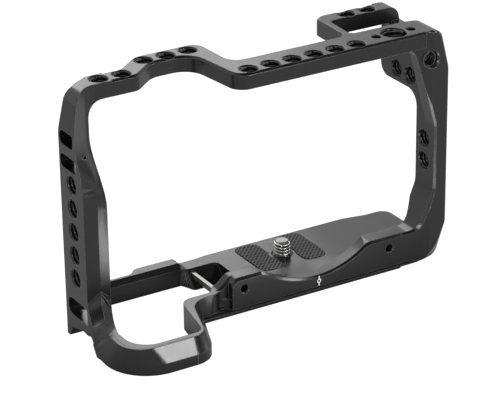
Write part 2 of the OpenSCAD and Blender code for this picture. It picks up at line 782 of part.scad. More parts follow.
// Opening inside the loop, which runs on into the battery opening
ledge_y = return_y + loop_t;
battery_front_y = lip_y + battery_set;
battery_rear_y = rail_rear_y - battery_wall;
loop_inner_x = -half_w + loop_side_t;
grip_opening = rounded([
    [rib_x, half_d, 0],
    [rib_x, side_front_y + bevel_set, loop_t],
    [loop_inner_x, side_front_y - loop_shoulder, 2.5 * loop_t],
    [loop_inner_x, loop_top_y + loop_t, 0.9 * loop_h],
    [-loop_right_x - 0.6 * loop_t, loop_top_y + loop_t, 1.5 * loop_t],
    [-loop_right_x + 1.25 * loop_t, ledge_y, 2 * loop_t],
    [-loop_joint_x - 1.7 * loop_t, ledge_y, loop_t],
    [-loop_joint_x - 0.2 * loop_t, battery_front_y, loop_t / 2],
    [-battery_x, battery_front_y, loop_t],
    [-battery_x, half_d, 0]]);
// Sweep from the loop's top up to the wall's front face, as upright sections across the loop:
// the outer edge of the slanted face, its upper edge and the window's edge
function rise(y, y0, r) = loop_h - skin + r - sqrt(r * r - pow(max(0, y - y0 + r), 2));
function sweep_section(y) =
    let (t = share(y, side_front_y - sweep_r, side_front_y), u = share(y, side_front_y - crease_run, side_front_y))
    let (x_in = loop_inner_x + (rib_x - loop_inner_x) * t)
    [[-half_w, y, skirt_h / 2],
        [x_in, y, skirt_h / 2],
        [x_in, y, rise(y, side_front_y + bevel_set, inner_sweep_r)],
        [-half_w + side_lean + (rib_t - bevel_run - side_lean) * t, y,
            rise(min(y, side_front_y - skin), side_front_y, sweep_r)],
        [-half_w, y, skirt_h + (crease_h - skirt_h) * u]];
module loop_fillet() {
    rings([for (i = [0:loft_steps]) sweep_section(side_front_y - sweep_r * i / loft_steps)]);
}
module wall_fillet() {
    rings(concat([sweep_section(side_front_y + bevel_set - skin)],
        [for (i = [0:loft_steps]) sweep_section(side_front_y - sweep_r * i / loft_steps)]));
}
recess_y = face_y + recess_d;
scoop_outline = rounded([
    [-loop_right_x + 1.1 * loop_h, foot_y - over, 0],
    [-loop_right_x + 1.5 * loop_h, return_y, loop_t],
    [-lip_left_x - 2.2 * recess_d, return_y, 2 * loop_t],
    [-lip_left_x - 1.4 * recess_d, recess_y, loop_t],
    [-lip_left_x, recess_y, 0.95 * recess_d],
    [-lip_left_x, foot_y - over, 0]]);
module scoop() {
    plan(scoop_outline, flange_h + groove_d, lip_z + over);
}
// Raised end of the lip beside the scoop
riser_edge = rounded([
    [0, lip_z, 0],
    [-lip_left_x + loop_t / 2, lip_z, 1.5 * loop_t],
    [-loop_joint_x - loop_t / 2, loop_h, 1.5 * loop_t],
    [-loop_joint_x - 2 * loop_t, loop_h, 0]]);
module riser() {
    difference() {
        intersection() {
            front(concat([[-loop_joint_x - 2 * loop_t, base_t], [0, base_t]], riser_edge), recess_y, lip_y);
            box([-loop_joint_x - 2 * loop_t, -half_d, 0], [-lip_left_x + loop_t, half_d, top_z]);
        }
        front_frame() edge_cut(riser_edge, [for (p = riser_edge) -recess_y], lip_c, closed = false);
    }
}
// What lies above the slope is cut from the lip
module above_riser() {
    front(concat([[0, lip_z + over], [-loop_joint_x - 2 * loop_t, lip_z + over]],
        [for (i = [len(riser_edge) - 1:-1:0]) riser_edge[i]]), -half_d, lip_y + skin);
}
module grip_loop() {
    color(frame_black) difference() {
        union() {
            rings([at_height(loop_low, 0), at_height(loop_low, skirt_h), at_height(loop_high, loop_h)]);
            intersection() {
                loop_fillet();
                box([-half_w - over, -half_d, -over], [rib_x + over, half_d, strap_mid_z]);
            }
            intersection() {
                riser();
                box([-half_w, -half_d, 0], [-loop_joint_x, half_d, top_z]);
            }
        }
        plan(grip_opening, -over, 3 * loop_h);
        side(arch_outline, -half_w - over, rib_x + over);
        side(strap_outline, -half_w - over, -half_w + side_t + edge_over);
        scoop();
        foot_groove();
    }
}

// Grooves that make the foot's long edges a dovetail
module foot_groove() {
    groove_z = flange_h + groove_d;
    x0 = -loop_right_x + loop_h;
    side([[foot_y, flange_h], [foot_y + groove_d, groove_z], [-half_d, groove_z], [-half_d, -over],
        [foot_y, -over]], x0, half_w + over);
    side([[half_d, flange_h], [half_d - groove_d, groove_z], [half_d + over, groove_z],
        [half_d + over, flange_h]], x0 - over, half_w + over);
}

// Base plate with the front lip
lens_half = sqrt(lens_r * lens_r - (lens_z - lip_z) * (lens_z - lip_z));
lens_a = asin(lens_half / lens_r);
lip_outline = rounded(concat(
    [[-lip_left_x, 0, 0], [base_joint_x, 0, 0], [base_joint_x, lip_z, 0]],
    [[screw_x + lens_half + lip_c, lip_z, lens_floor * 6]],
    [for (i = [6:-1:-6]) [screw_x + lens_r * sin(lens_a * i / 6.6),
        lens_z - lens_r * cos(lens_a * i / 6.6), 0]],
    [[screw_x - lens_half - lip_c, lip_z, lens_floor * 6], [-lip_left_x + lip_corner, lip_z, loop_t],
        [-lip_left_x, lip_z - lip_corner, 0]]));
lip_edge = rounded(concat(
    [[base_joint_x + over, lip_z, 0], [screw_x + lens_half + lip_c, lip_z, lens_floor * 6]],
    [for (i = [6:-1:-6]) [screw_x + lens_r * sin(lens_a * i / 6.6),
        lens_z - lens_r * cos(lens_a * i / 6.6), 0]],
    [[screw_x - lens_half - lip_c, lip_z, lens_floor * 6], [-lip_left_x + lip_corner, lip_z, loop_t],
        [-lip_left_x - over, lip_z - lip_corner - over, 0]]));
plate_outline = rounded([
    [-loop_joint_x, recess_y, 0],
    [-lip_left_x, recess_y, 0.9 * recess_d],
    [-lip_left_x, face_y, 0],
    [base_joint_x, face_y, 0],
    [base_joint_x, lip_y, 0],
    [half_w, lip_y, 0],
    [half_w, half_d, 0.7 * pillar_t],
    [-battery_x - 0.75 * loop_t, half_d, loop_t],
    [-battery_x - 2 * loop_t, rail_rear_y, loop_t],
    [-rail_joint_x, rail_rear_y, 0],
    [-rail_joint_x, battery_rear_y, 0],
    [-battery_x, battery_rear_y, loop_t],
    [-battery_x, battery_front_y, loop_t],
    [-loop_joint_x, battery_front_y, 0]]);
// Slanted wall behind the battery opening, blended in from the rail
function bay_section(x, t) = [
    [x, battery_rear_y - battery_slope * t, 0],
    [x, battery_rear_y + skin, 0],
    [x, battery_rear_y + skin, base_t]];
function step_section(x, t) = [
    [x, battery_rear_y, base_t - rail_c],
    [x, rail_rear_y, base_t - rail_c],
    [x, rail_rear_y, base_t + (rail_h - base_t) * t],
    [x, battery_rear_y + rail_c * t, base_t + (rail_h - base_t) * t],
    [x, battery_rear_y, base_t + (rail_h - base_t - rail_c) * t]];
module bay_wall() {
    rings(concat(
        [for (i = [0:loft_steps]) bay_section(-rail_joint_x + rail_blend * i / loft_steps,
            max(skin, ease(i / loft_steps)))],
        [bay_section(-battery_x + skin, 1)]));
    rings([for (i = [0:loft_steps]) step_section(-rail_joint_x + rail_blend * i / loft_steps,
        1 - ease(i / loft_steps) * (1 - skin))]);
}
// Places of the holes in the lip and the foot
lip_hole_left_x = 12.7;
lip_hole_right_x = 50.5;
lip_hole_z = 9.8;
base_hole_set = 25.8;
base_hole_y = 13;
key_bore_d = key_af / cos(30) + 2 * running;
key_arm_y = half_d - 0.6 * key_af;
magnet_x = key_short - key_bend;
module key_pocket() {
    w = key_bore_d + 2 * running;
    box([-key_x - w / 2, key_arm_y - w / 2, key_z - w / 2],
        [-key_x + key_short + w, half_d + over, key_z + w / 2]);
    box([-key_x - w / 2, key_arm_y - key_bend - w / 2, key_z - w / 2],
        [-key_x + key_bend + w / 2, half_d + over, key_z + w / 2]);
}
module screw_holes() {
    translate([screw_x, screw_y, -over]) cylinder(h = head_recess + over, d = head_d + 2 * head_gap);
    translate([screw_x, screw_y, 0]) cylinder(h = base_t + over, d = neck_d + 2 * running);
    translate([screw_x, screw_y, ring_seat_z]) cylinder(h = base_t, d = ring_d + 2 * ring_gap);
}
ring_seat_z = base_t - ring_t - play - ring_sink;
module base_plate() {
    color(frame_black) difference() {
        union() {
            intersection() {
                plan(plate_outline, 0, base_t);
                front(concat([[-half_w, top_z], [-half_w, 0]], full_outline), -half_d, half_d);
            }
            difference() {
                front(lip_outline, face_y, lip_y);
                above_riser();
                translate([screw_x, face_y, lens_z]) rotate([-90, 0, 0])
                    cylinder(h = lip_t + over, r1 = lens_r, r2 = lens_r + lens_flare, $fn = 96);
            }
            box([-loop_joint_x, foot_y, 0], [-lip_left_x, recess_y + skin, flange_h + groove_d]);
            intersection() {
                riser();
                box([-loop_joint_x, -half_d, 0], [half_w, half_d, top_z]);
            }
            box([-loop_joint_x, recess_y, 0], [-lip_left_x + skin, battery_front_y, loop_h]);
            bay_wall();
        }
        front_frame() edge_cut(lip_edge, [for (p = lip_edge) -face_y], lip_c, closed = false);
        foot_groove();
        screw_holes();
        for (s = [-1, 1]) pad_shape(s, base_t - pad_recess, base_t + over, 0);
        key_pocket();
        translate([-key_x, half_d, key_z]) rotate([90, 0, 0])
            cylinder(h = half_d - battery_front_y + key_tip, d = key_bore_d);
        translate([-key_x + magnet_x, key_arm_y, key_z]) rotate([90, 0, 0])
            cylinder(h = key_bore_d / 2 + magnet_l + running, d = magnet_d);
        difference() {
            front([[half_w - 3.4 * pillar_t, base_t], [half_w - 1.6 * pillar_t, base_t - wing_step],
                [half_w + over, base_t - wing_step], [half_w + over, base_t + over],
                [half_w - 3.4 * pillar_t, base_t + over]], lip_y, half_d + over);
            intersection() {
                plan(lip_plan, 0, top_z);
                box([0, -half_d, 0], [half_w + over, wall_y + 1.4 * pillar_t, top_z]);
            }
        }
        for (x = [-lip_hole_left_x, lip_hole_right_x]) translate([x, face_y, lip_hole_z]) rotate([90, 0, 0])
            hole(small_d, blind_l, 0.3 * mouth_c);
        for (i = [0, 1]) translate([screw_x + base_hole_set + 2 * i * hole_pitch, base_hole_y, 0])
            rotate([180, 0, 0]) hole(quarter_d, blind_l);
    }
}

rail_outline = rounded([
    [-rail_joint_x + over, battery_rear_y, 0],
    [-rail_joint_x + over, rail_rear_y, 0],
    [-rail_wide_x, rail_rear_y, rail_t],
    [-rail_wide_x - rail_t, battery_rear_y + rail_t, rail_t],
    [-half_w + 4.2 * rail_t, battery_rear_y + rail_t, 2.6 * rail_t],
    [-half_w, side_rear_y - over, 0],
    [-half_w + side_t, side_rear_y - over, 0],
    [-half_w + side_t + 3.2 * rail_t, battery_rear_y, 1.8 * rail_t]]);
rail_edge = rounded([
    [-half_w + side_t, -half_d, 0],
    [-half_w + side_t, side_rear_y - over, 0],
    [-half_w + side_t + 3.2 * rail_t, battery_rear_y, 1.8 * rail_t],
    [-rail_joint_x + over, battery_rear_y, 0]]);
module rear_rail() {
    color(frame_black) difference() {
        intersection() {
            plan(rail_outline, 0, rail_h);
            box([-half_w, side_rear_y, 0], [-rail_joint_x, half_d, rail_h]);
        }
        edge_cut(rail_edge, [for (p = rail_edge) rail_h], rail_c, closed = false);
    }
}

module camera_screw() {
    neck_z = play + head_t;
    color(steel) translate([screw_x, screw_y, 0]) {
        difference() {
            translate([0, 0, play]) cylinder(h = head_t, d = head_d);
            translate([0, 0, play - over])
                cylinder(h = over + 0.7 * head_t, d = socket_af / cos(30), $fn = 6);
            box([-head_d, -coin_w / 2, -over], [head_d, coin_w / 2, play + head_t / 3]);
        }
        translate([0, 0, neck_z - skin]) cylinder(h = base_t - neck_z, d = neck_d);
        translate([0, 0, base_t - play / 2]) cylinder(h = stud_h - mouth_c / 2, d = screw_d);
        translate([0, 0, base_t + stud_h - mouth_c / 2 - play / 2])
            cylinder(h = mouth_c / 2, d1 = screw_d, d2 = screw_d - mouth_c);
    }
}

module screw_retaining_ring() {
    color(steel) translate([screw_x, screw_y, ring_seat_z + play]) difference() {
        cylinder(h = ring_t, d = ring_d);
        translate([0, 0, -over]) cylinder(h = ring_t + 2 * over, d = neck_d);
    }
}

// A pad's outline is a rounded rectangle whose side follows the screw's recess
module pad_shape(s, z0, z1, gap) {
    r = pad_w / 3;
    x = screw_x + s * pad_set;
    y = screw_y + pad_back;
    difference() {
        plan(rounded([
            [x - pad_w / 2 + gap, y - pad_l / 2 + gap, r],
            [x + pad_w / 2 - gap, y - pad_l / 2 + gap, r],
            [x + pad_w / 2 - gap, y + pad_l / 2 - gap, r],
            [x - pad_w / 2 + gap, y + pad_l / 2 - gap, r]]), z0, z1);
        translate([screw_x, screw_y, z0 - over])
            cylinder(h = z1 - z0 + 2 * over, d = ring_d + 2 * (pad_notch + gap));
    }
}
module rubber_pad_left() {
    color(rubber_black) pad_shape(-1, base_t - pad_recess, base_t + pad_proud, running);
}
module rubber_pad_right() {
    color(rubber_black) pad_shape(1, base_t - pad_recess, base_t + pad_proud, running);
}

module hex_bar(l) {
    cylinder(h = l, d = key_af / cos(30), $fn = 6);
}
module hex_key() {
    tip_y = battery_front_y - key_tip + tip_gap;
    long_l = key_arm_y - key_bend - tip_y;
    color(steel) translate([-key_x, 0, key_z]) {
        translate([0, tip_y, 0]) rotate([-90, 0, 0]) hex_bar(long_l);
        translate([key_bend, key_arm_y - key_bend, 0]) rotate([0, 0, 90])
            rotate_extrude(angle = 90) translate([key_bend, 0])
                circle(d = key_af / cos(30), $fn = 6);
        translate([key_bend, key_arm_y, 0]) rotate([0, 90, 0]) rotate([0, 0, 90])
            hex_bar(key_short - key_bend);
    }
}
module key_magnet() {
    color(steel) translate([-key_x + magnet_x, key_arm_y - key_bore_d / 2 - running, key_z])
        rotate([90, 0, 0]) cylinder(h = magnet_l, d = magnet_d);
}

top_bar();
rear_bridge();
right_pillar();
grip_side_wall();
grip_loop();
base_plate();
rear_rail();
camera_screw();
screw_retaining_ring();
rubber_pad_left();
rubber_pad_right();
hex_key();
key_magnet();
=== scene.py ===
"""Looks of a camera cage: black anodised frame, cut threads, rubber pads and steel parts."""

import logging
import math
from dataclasses import dataclass
from enum import Enum

import bmesh
import bpy
from bmesh.types import BMesh, BMVert
from bpy.types import Material, Mesh, Node, NodeSocket, NodeTree, Object
from mathutils import Matrix, Vector


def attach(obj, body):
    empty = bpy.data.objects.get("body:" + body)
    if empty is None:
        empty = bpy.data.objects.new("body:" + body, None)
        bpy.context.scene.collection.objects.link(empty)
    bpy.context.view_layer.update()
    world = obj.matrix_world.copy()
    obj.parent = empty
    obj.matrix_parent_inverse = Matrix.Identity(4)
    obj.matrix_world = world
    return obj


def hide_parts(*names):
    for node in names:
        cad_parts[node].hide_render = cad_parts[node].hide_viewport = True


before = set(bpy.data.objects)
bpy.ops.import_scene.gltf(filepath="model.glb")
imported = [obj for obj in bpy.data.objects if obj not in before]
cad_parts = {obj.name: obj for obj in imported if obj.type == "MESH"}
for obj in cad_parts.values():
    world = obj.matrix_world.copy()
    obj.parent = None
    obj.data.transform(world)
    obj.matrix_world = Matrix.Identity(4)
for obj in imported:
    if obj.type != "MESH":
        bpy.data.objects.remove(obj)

MM = 0.001
LOG = logging.getLogger("camera_cage")

# The top face above the ground and the pitch of the holes in a row, in millimetres
TOP_FACE = 94.2
HOLE_STEP = 9.0
# Edges of the frame that turn less than this are shaded smooth
FRAME_SMOOTH = math.radians(13)
# Width over which an edge gets its painted highlight and wear, and over which it looks rounded
EDGE_WEAR_AND_HIGHLIGHT = 0.3 * MM
EDGE_ROUNDING = 0.4 * MM
# Distance below which two corners of a CAD mesh are one
SAME_CORNER = 0.001 * MM

Pair = tuple[float, float]
Place = tuple[float, float, float]
Row = list[Place]


class Body(Enum):
    """Rigid bodies that the new pieces ride on."""

    FRAME = "frame"
    SCREW = "camera_screw"


class Slot(Enum):
    """Material slots of the record; no piece here is given one."""

    FRAME = "anodised_frame"
    STEEL = "steel"


class Join(Enum):
    """Ways in which two solids are combined."""

    UNION = "UNION"
    CUT = "DIFFERENCE"
    COMMON = "INTERSECT"


class Facing(Enum):
    """Direction out of a hole's mouth."""

    UP = (0.0, 0.0, 1.0)
    DOWN = (0.0, 0.0, -1.0)
    FRONT = (0.0, -1.0, 0.0)
    GRIP_SIDE = (-1.0, 0.0, 0.0)


@dataclass(frozen=True)
class Thread:
    """Sizes of one thread, in metres.

    Args:
        crest: Radius of the ridge's top.
        root: Radius of the ridge's foot.
        pitch: Rise of one turn.
        mouth: Depth of the countersink.
    """

    crest: float
    root: float
    pitch: float
    mouth: float = 1.1 * MM

    @property
    def start(self) -> float:
        """Depth at which the countersink is as wide as the thread's root."""
        return self.mouth - (self.root - self.crest)


QUARTER = Thread(2.6 * MM, 3.175 * MM, 1.27 * MM)
THREE_EIGHTHS = Thread(4.0 * MM, 4.7 * MM, 1.5875 * MM)


@dataclass(frozen=True)
class HoleRow:
    """A row of equal threaded holes.

    Args:
        first: Mouth of the first hole, in millimetres.
        step: Offset to the next hole, in millimetres.
        count: Number of holes.
        facing: Direction out of the mouths.
        depth: Length of the hole, in millimetres.
        beyond: How far the drill runs on past that length, in millimetres.
        thread: The thread that is cut in them.
    """

    first: Place
    step: Place
    count: int
    facing: Facing
    depth: float
    beyond: float = 0.0
    thread: Thread = QUARTER

    def mouths(self) -> list[Vector]:
        """Mouths of the holes, in metres."""
        first, step = Vector(self.first), Vector(self.step)
        return [(first + step * i) * MM for i in range(self.count)]


HOLE_ROWS = (
    HoleRow((-57.8, 15, TOP_FACE), (HOLE_STEP, 0, 0), 2, Facing.UP, 6.1, 1),
    HoleRow((-36, 22.4, TOP_FACE), (HOLE_STEP, 0, 0), 3, Facing.UP, 6.1, 1),
    HoleRow((-9, -4.9, TOP_FACE), (HOLE_STEP, 0, 0), 6, Facing.UP, 6.1, 1),
    HoleRow((50.2, 23.8, TOP_FACE), (HOLE_STEP, 0, 0), 2, Facing.UP, 6.1, 1),
    HoleRow((53.6, -2.7, TOP_FACE), (0, 0, 0), 1, Facing.UP, 6.1, 1, THREE_EIGHTHS),
    HoleRow((66.2, -9, 83.1), (0, 0, 0), 1, Facing.FRONT, 6.0, 0.4),
    HoleRow((68.5, -1.62, 39.7), (0, 0, HOLE_STEP), 2, Facing.GRIP_SIDE, 6.0, 1),
    HoleRow((68.5, 8, 70.7), (0, HOLE_STEP, 0), 2, Facing.GRIP_SIDE, 6.0, 1),
    HoleRow((-74.5, 6, 25), (0, 0, HOLE_STEP), 5, Facing.GRIP_SIDE, 5.5, 1.4),
    HoleRow((44, 13, 0), (2 * HOLE_STEP, 0, 0), 2, Facing.DOWN, 5.0),
)


def new_object(name: str, mesh: Mesh) -> Object:
    """Puts a mesh in the scene at the origin.

    Args:
        name: The object's name.
        mesh: The mesh.

    Returns:
        The new object.
    """
    obj = bpy.data.objects.new(name, mesh)
    bpy.context.scene.collection.objects.link(obj)
    return obj


def finished(form: BMesh, name: str) -> Object:
    """Writes a form to a new object and frees it.

    Args:
        form: The form.
        name: The object's name.

    Returns:
        The object, at the origin.
    """
    mesh = bpy.data.meshes.new(name)
    form.to_mesh(mesh)
    form.free()
    return new_object(name, mesh)


def settled(obj: Object) -> Object:
    """Turns an object's modifiers into plain mesh.

    Args:
        obj: The object with its modifiers live.

    Returns:
        The same object, with the evaluated mesh and no modifier.
    """
    graph = bpy.context.evaluated_depsgraph_get()
    mesh = bpy.data.meshes.new_from_object(obj.evaluated_get(graph), depsgraph=graph)
    obj.modifiers.clear()
    obj.data = mesh
    return obj


def combined(obj: Object, tool: Object, way: Join) -> Object:
    """Combines an object with another, which is used up.

    Args:
        obj: The object that is kept.
        tool: The object that is joined to it, cut from it or laid over it.
        way: How they are combined.

    Returns:
        The kept object.
    """
    step = obj.modifiers.new(way.name, "BOOLEAN")
    step.operation, step.object, step.solver = way.value, tool, "MANIFOLD"
    settled(obj)
    bpy.data.objects.remove(tool)
    return obj


def smooth_by_angle(mesh: Mesh, angle: float) -> None:
    """Shades a mesh smooth but for the edges that turn more than an angle.

    Args:
        mesh: The mesh.
        angle: The angle, in radians.
    """
    form = bmesh.new()
    form.from_mesh(mesh)
    for face in form.faces:
        face.smooth = True
    for edge in form.edges:
        edge.smooth = len(edge.link_faces) == 2 and edge.calc_face_angle(0) < angle
    form.to_mesh(mesh)
    form.free()


def coat(obj: Object, material: Material) -> None:
    """Gives an object one material in place of those that it has."""
    obj.data.materials.clear()
    obj.data.materials.append(material)


def merged_copy(node: str, name: str) -> Object:
    """A copy of a CAD node as one closed mesh.

    Args:
        node: The node's name.
        name: The copy's name.

    Returns:
        The copy, which stands for nothing yet.
    """
    form = bmesh.new()
    form.from_mesh(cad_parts[node].data)
    bmesh.ops.remove_doubles(form, verts=form.verts, dist=SAME_CORNER)
    copy = finished(form, name)
    copy.data.materials.clear()
    return copy


def turned(profile: list[Pair], steps: int, place: Matrix, form: BMesh) -> None:
    """Adds a closed turned solid to a form.

    Args:
        profile: (radius, height) pairs in metres, from the axis at the bottom to the axis on top.
        steps: Number of sides.
        place: Where its own Z axis goes.
        form: The form it is added to.
    """
    rings = []
    for radius, height in profile:
        if radius == 0:
            rings.append([form.verts.new(place @ Vector((0, 0, height)))])
            continue
        angles = (2 * math.pi * i / steps for i in range(steps))
        spots = (Vector((radius * math.cos(a), radius * math.sin(a), height)) for a in angles)
        rings.append([form.verts.new(place @ spot) for spot in spots])
    for low, high in zip(rings, rings[1:]):
        for i in range(steps):
            j = (i + 1) % steps
            if len(low) == 1:
                form.faces.new((low[0], high[j], high[i]))
            elif len(high) == 1:
                form.faces.new((low[i], low[j], high[0]))
            else:
                form.faces.new((low[i], low[j], high[j], high[i]))


def placed(mouth: Vector, axis: Vector) -> Matrix:
    """A matrix that takes the local Z axis to a hole's axis, out of its mouth."""
    return Matrix.Translation(mouth) @ axis.to_track_quat("Z", "Y").to_matrix().to_4x4()


class NodePen:
    """Short way to write nodes into one tree."""

    # Places of a colour Mix node's sockets: factor, first colour, second colour, and the result
    MIX_INPUTS = (0, 6, 7)
    MIX_RESULT = 2

    def __init__(self, tree: NodeTree) -> None:
        """Keeps the tree."""
        self.tree = tree

    def _feed(self, socket: NodeSocket, value: object) -> None:
        """Links a socket to another one, or sets its value."""
        if isinstance(value, NodeSocket):
            self.tree.links.new(value, socket)
        else:
            socket.default_value = value

    def add(self, kind: str, settings: dict[str, object] | None = None,
            **values: object) -> Node:
        """Adds a node.

        Args:
            kind: The node's type name.
            settings: Properties of the node.
            values: Values or linked sockets, by input name with _ for a space, or by i and the
                input's place.

        Returns:
            The node.
        """
        node = self.tree.nodes.new(kind)
        for key, value in (settings or {}).items():
            setattr(node, key, value)
        for key, value in values.items():
            by_place = key[0] == "i" and key[1:].isdigit()
            self._feed(node.inputs[int(key[1:]) if by_place else key.replace("_", " ")], value)
        return node

    def calc(self, operation: str, one: object, other: object, clamp: bool = False) -> NodeSocket:
        """Works out two numbers.

        Args:
            operation: The Math node's operation.
            one: The first number.
            other: The second number.
            clamp: Whether the result is kept between 0 and 1.

        Returns:
            The socket of the result.
        """
        settings = {"operation": operation, "use_clamp": clamp}
        return self.add("ShaderNodeMath", settings, i0=one, i1=other).outputs[0]

    def mix(self, fac: object, low: object, high: object) -> NodeSocket:
        """Blends two colours.

        Args:
            fac: Share of the second colour.
            low: The first colour.
            high: The second colour.

        Returns:
            The socket of the blend.
        """
        node = self.add("ShaderNodeMix", {"data_type": "RGBA"})
        for index, value in zip(self.MIX_INPUTS, (fac, low, high)):
            self._feed(node.inputs[index], value)
        return node.outputs[self.MIX_RESULT]


def node_group(name: str, kind: str, inputs: tuple[str, ...],
               outputs: tuple[str, ...]) -> NodeTree:
    """An empty node group, with plain numbers as its sockets but for those named Geometry.

    Args:
        name: The group's name.
        kind: Its type.
        inputs: Names of its inputs.
        outputs: Names of its outputs.

    Returns:
        The group.
    """
    tree = bpy.data.node_groups.new(name, kind)
    for way, labels in (("INPUT", inputs), ("OUTPUT", outputs)):
        for label in labels:
            socket = "NodeSocketGeometry" if label == "Geometry" else "NodeSocketFloat"
            tree.interface.new_socket(label, in_out=way, socket_type=socket)
    return tree


class ThreadTree:
    """Geometry Nodes tree that lays a helical ridge at every point of a carrier mesh."""

    TURN_STEPS = 28
    SIZES = ("Radius", "Ridge Height", "Ridge Base", "Ridge Top", "Pitch", "Turns")

    def __init__(self, name: str, material: Material) -> None:
        """Builds the tree.

        Args:
            name: The tree's name.
            material: The finish of the ridges.
        """
        self.tree = node_group(name, "GeometryNodeTree", ("Geometry", *self.SIZES), ("Geometry",))
        self._build(material)

    def _build(self, material: Material) -> None:
        """Adds and links the nodes.

        Args:
            material: The finish of the ridges.
        """
        pen = NodePen(self.tree)
        given = pen.add("NodeGroupInput").outputs
        rise = pen.calc("MULTIPLY", given["Pitch"], given["Turns"])
        helix = pen.add("GeometryNodeCurveSpiral", Resolution=self.TURN_STEPS, Height=rise,
                        Rotations=given["Turns"], Start_Radius=given["Radius"],
                        End_Radius=given["Radius"])
        upright = pen.add("GeometryNodeSetCurveNormal", {"mode": "Z_UP"}, i0=helix.outputs[0])
        ridge = pen.add("GeometryNodeCurvePrimitiveQuadrilateral", {"mode": "TRAPEZOID"},
                        Offset=0.0, Bottom_Width=given["Ridge Base"],
                        Top_Width=given["Ridge Top"], Height=given["Ridge Height"])
        swept = pen.add("GeometryNodeCurveToMesh", Curve=upright.outputs[0],
                        Profile_Curve=ridge.outputs[0], Fill_Caps=True)
        axis = pen.add("GeometryNodeInputNamedAttribute", {"data_type": "FLOAT_VECTOR"},
                       Name="axis")
        turn = pen.add("FunctionNodeAlignRotationToVector", {"axis": "Z"}, Vector=axis.outputs[0])
        spread = pen.add("GeometryNodeInstanceOnPoints", Points=given["Geometry"],
                         Instance=swept.outputs[0], Rotation=turn.outputs[0])
        real = pen.add("GeometryNodeRealizeInstances", i0=spread.outputs[0])
        dress = pen.add("GeometryNodeSetMaterial", Geometry=real.outputs[0], Material=material)
        pen.add("NodeGroupOutput", i0=dress.outputs[0])

    def grow(self, name: str, spots: list[tuple[Vector, Vector]],
             sizes: dict[str, float]) -> Object:
        """Lays the ridges.

        Args:
            name: The piece's name.
            spots: Start point and axis of every helix, in metres.
            sizes: Values of the tree's named inputs.

        Returns:
            One plain mesh object with all the ridges.
        """
        mesh = bpy.data.meshes.new(name)
        mesh.from_pydata([start for start, _ in spots], [], [])
        axes = mesh.attributes.new("axis", "FLOAT_VECTOR", "POINT")
        for i, (_, axis) in enumerate(spots):
            axes.data[i].vector = axis
        obj = new_object(name, mesh)
        step = obj.modifiers.new("ridges", "NODES")
        step.node_group = self.tree
        for item in self.tree.interface.items_tree:
            if item.in_out == "INPUT" and item.name in sizes:
                step[item.identifier] = float(sizes[item.name])
        settled(obj)
        form = bmesh.new()
        form.from_mesh(obj.data)
        bmesh.ops.recalc_face_normals(form, faces=form.faces)
        form.to_mesh(obj.data)
        form.free()
        return obj


def edge_line_group() -> NodeTree:
    """Shader group that finds the edges, where a painted highlight and wear are laid.

    Returns:
        The group, with input Gain and output Edge, a mask that is 1 along the edges.
    """
    tree = node_group("edge_wear_and_highlight", "ShaderNodeTree", ("Gain",), ("Edge",))
    pen = NodePen(tree)
    given = pen.add("NodeGroupInput").outputs
    soft = pen.add("ShaderNodeBevel", {"samples": 4}, Radius=EDGE_WEAR_AND_HIGHLIGHT).outputs[0]
    true = pen.add("ShaderNodeNewGeometry").outputs["Normal"]
    same = pen.add("ShaderNodeVectorMath", {"operation": "DOT_PRODUCT"}, i0=soft, i1=true)
    off = pen.calc("SUBTRACT", 1.0, same.outputs["Value"])
    pen.add("NodeGroupOutput", Edge=pen.calc("MULTIPLY", off, given["Gain"], clamp=True))
    return tree


def grain_group() -> NodeTree:
    """Shader group for a blasted or moulded surface.

    Returns:
        The group, with inputs Scale and Clouds, and outputs Height and Patches.
    """
    tree = node_group("surface_grain", "ShaderNodeTree", ("Scale", "Clouds"),
                      ("Height", "Patches"))
    pen = NodePen(tree)
    given = pen.add("NodeGroupInput").outputs
    where = pen.add("ShaderNodeTexCoord").outputs["Object"]
    fine = pen.add("ShaderNodeTexNoise", Vector=where, Scale=given["Scale"], Detail=3.0,
                   Roughness=0.6)
    wide = pen.add("ShaderNodeTexNoise", Vector=where, Scale=given["Clouds"], Detail=2.0,
                   Roughness=0.5)
    pen.add("NodeGroupOutput", Height=fine.outputs[0], Patches=wide.outputs[0])
    return tree


